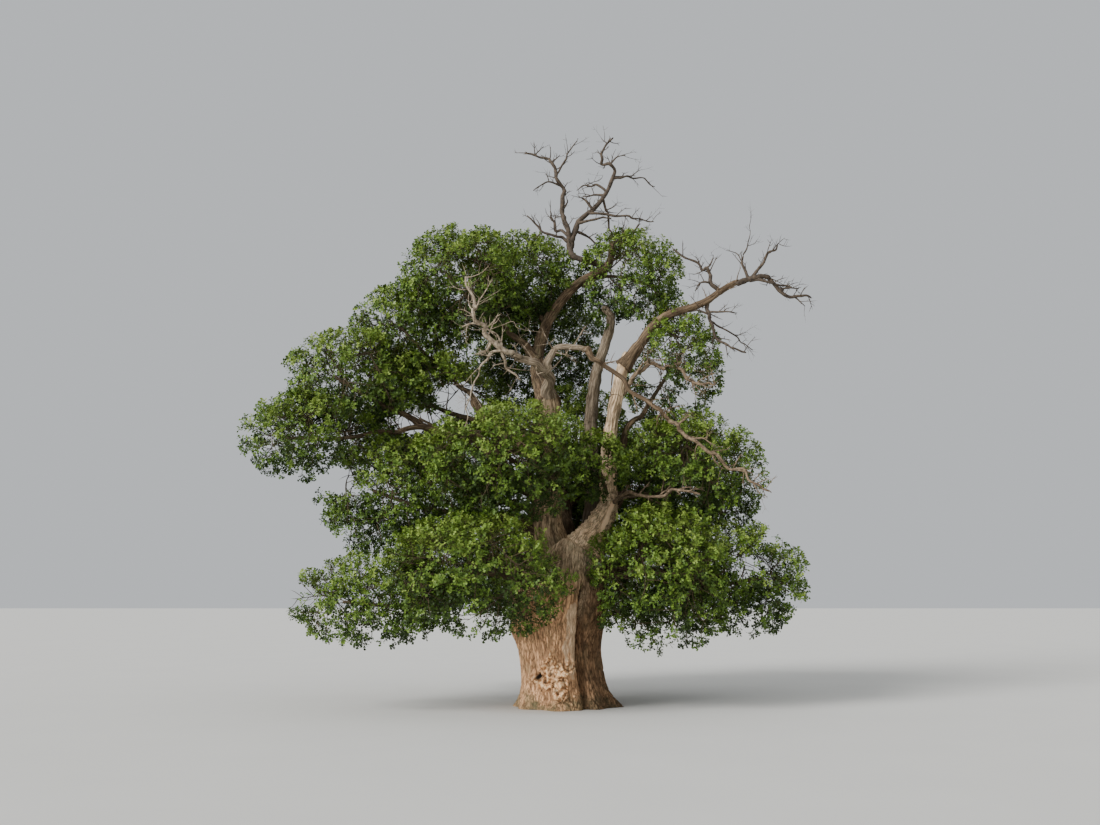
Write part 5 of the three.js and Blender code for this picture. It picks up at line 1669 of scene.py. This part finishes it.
class OakDeadLimbs(bpy.types.Operator):
    """Make the dead limbs and stubs"""

    bl_idname = "oak.dead_limbs"
    bl_label = "Dead limbs"

    def execute(self, context):
        settings = context.scene.oak_wood
        pale_tones = tones(settings, "dead_light", "dead_dark")
        pale = bark_material("pale_dead_wood", settings, *pale_tones, *pale_tones)
        # The brown copy of the dead wood is painted shade
        shaded_brown_tones = tones(settings, "shaded_brown_light", "shaded_brown_dark")
        brown = bark_material("brown_dead_wood", settings, *shaded_brown_tones, *shaded_brown_tones)
        for name, limb in LIMBS.items():
            if name not in LIVE_LIMBS:
                material = brown if name in SHADED_DEAD else pale
                make_limb(name, limb["from"], settings, material, False)
        return {"FINISHED"}


class OakBareCrown(bpy.types.Operator):
    """Make the bare twigs of the dead crown"""

    bl_idname = "oak.bare_crown"
    bl_label = "Bare crown"

    def execute(self, context):
        settings = context.scene.oak_wood
        pale = bare_twig_material("pale_twig", *tones(settings, "dead_light", "dead_dark"))
        # The dark and the brown copies of the dead wood's twig colours are painted shade
        dark = bare_twig_material("dark_twig", *tones(settings, "shaded_twig_light", "shaded_twig_dark"))
        brown = bare_twig_material("brown_twig", *tones(settings, "shaded_brown_light", "shaded_brown_dark"))
        for name, mass in BARE.items():
            material = pale if name == "bare_left" else brown if name in SHADED_BROWN_TWIGS else dark
            make_bare_mass(name, mass, material)
        return {"FINISHED"}


class OakLeafMasses(bpy.types.Operator):
    """Make the leaf masses with their twigs"""

    bl_idname = "oak.leaf_masses"
    bl_label = "Leaf masses"

    def execute(self, context):
        settings = context.scene.oak_leaves
        greens = [
            plain_material("leaf_" + shade, *tones(settings, shade + "_green"), roughness)
            for shade, roughness in LEAF_FINISHES.items()
        ]
        twig_colour = tuple(context.scene.oak_wood.twig_colour)
        twig_material = plain_material("live_twig", twig_colour, LIVE_TWIG_ROUGHNESS)
        for name, mass in {**MASSES, **SPRAYS}.items():
            make_leaf_mass(name, mass, settings, greens, twig_material)
        return {"FINISHED"}


class OakStage(bpy.types.Operator):
    """Make the floor, the light and the camera"""

    bl_idname = "oak.stage"
    bl_label = "Stage"

    def execute(self, context):
        settings = context.scene.oak_stage
        make_floor(settings)
        make_light(settings)
        make_camera()
        return {"FINISHED"}


def make_floor(settings):
    """A flat square floor at ground level, with a faint procedural unevenness in its colour."""
    half = settings.floor_size / 2
    mesh = bpy.data.meshes.new("floor")
    corners = [(-half, -half, 0), (half, -half, 0), (half, half, 0), (-half, half, 0)]
    mesh.from_pydata(corners, [], [(0, 1, 2, 3)])
    floor = bpy.data.objects.new("floor", mesh)
    bpy.context.scene.collection.objects.link(floor)
    material, tree, shader = new_material("floor", FLOOR["roughness"], None)
    colour = np.array(settings.floor_colour)
    place = tree.nodes.new("ShaderNodeTexCoord").outputs["Object"]
    pattern = noise(tree, place, FLOOR["noise"])
    shades = ramp(tree, pattern, RAMPS["floor"], (tuple(colour * FLOOR["shade"]), tuple(colour)))
    tree.links.new(shades, shader.inputs["Base Color"])
    mesh.materials.append(material)


def make_light(settings):
    """A pale dome all around, a soft light from the upper left and a low one that reaches the trunk."""
    world = bpy.data.worlds.new("dome")
    world.use_nodes = True
    background = world.node_tree.nodes["Background"]
    background.inputs["Color"].default_value = (*settings.sky_colour, 1)
    background.inputs["Strength"].default_value = settings.dome_strength
    bpy.context.scene.world = world
    for name, strength, direction in (
            ("key", settings.key_strength, KEY_FROM), ("fill", settings.fill_strength, FILL_FROM)):
        lamp = bpy.data.lights.new(name, "SUN")
        lamp.energy = strength
        lamp.angle = np.radians(settings.key_spread)
        light = bpy.data.objects.new(name, lamp)
        light.rotation_euler = Vector(direction).to_track_quat("Z", "Y").to_euler()
        bpy.context.scene.collection.objects.link(light)


def make_camera():
    """The camera at the photograph's place: level with a person's raised hand, tilted up."""
    data = bpy.data.cameras.new("camera")
    data.lens = CAMERA["lens"]
    data.sensor_width = CAMERA["sensor"]
    data.clip_end = 1000
    camera = bpy.data.objects.new("camera", data)
    camera.location = CAMERA["place"]
    camera.rotation_euler = (np.radians(90 + CAMERA["pitch"]), 0, 0)
    bpy.context.scene.collection.objects.link(camera)
    bpy.context.scene.camera = camera


OPERATORS = [OakTrunk, OakLimbs, OakDeadLimbs, OakBareCrown, OakLeafMasses, OakStage]


class OakPanel(bpy.types.Panel):
    """Lists the steps and settings of the oak"""

    bl_idname = "VIEW3D_PT_oak"
    bl_label = "Ancient Oak"
    bl_space_type = "VIEW_3D"
    bl_region_type = "UI"
    bl_category = "Oak"

    def draw(self, context):
        for operator in OPERATORS:
            self.layout.operator(operator.bl_idname)
        for group in (context.scene.oak_wood, context.scene.oak_leaves, context.scene.oak_stage):
            box = self.layout.box()
            for name in group.__annotations__:
                box.prop(group, name)


GROUPS = {"oak_wood": OakWoodSettings, "oak_leaves": OakLeafSettings, "oak_stage": OakStageSettings}


def register():
    """Registers the settings, the operators and the panel."""
    for name, group in GROUPS.items():
        bpy.utils.register_class(group)
        setattr(bpy.types.Scene, name, PointerProperty(type=group))
    for operator in OPERATORS:
        bpy.utils.register_class(operator)
    bpy.utils.register_class(OakPanel)


def unregister():
    """Takes back what register did."""
    bpy.utils.unregister_class(OakPanel)
    for operator in reversed(OPERATORS):
        bpy.utils.unregister_class(operator)
    for name, group in GROUPS.items():
        delattr(bpy.types.Scene, name)
        bpy.utils.unregister_class(group)


def main():
    """Builds every piece in order."""
    register()
    make_lines()
    bpy.ops.oak.trunk()
    bpy.ops.oak.limbs()
    bpy.ops.oak.dead_limbs()
    bpy.ops.oak.bare_crown()
    bpy.ops.oak.leaf_masses()
    bpy.ops.oak.stage()


if __name__ == "__main__":
    main()
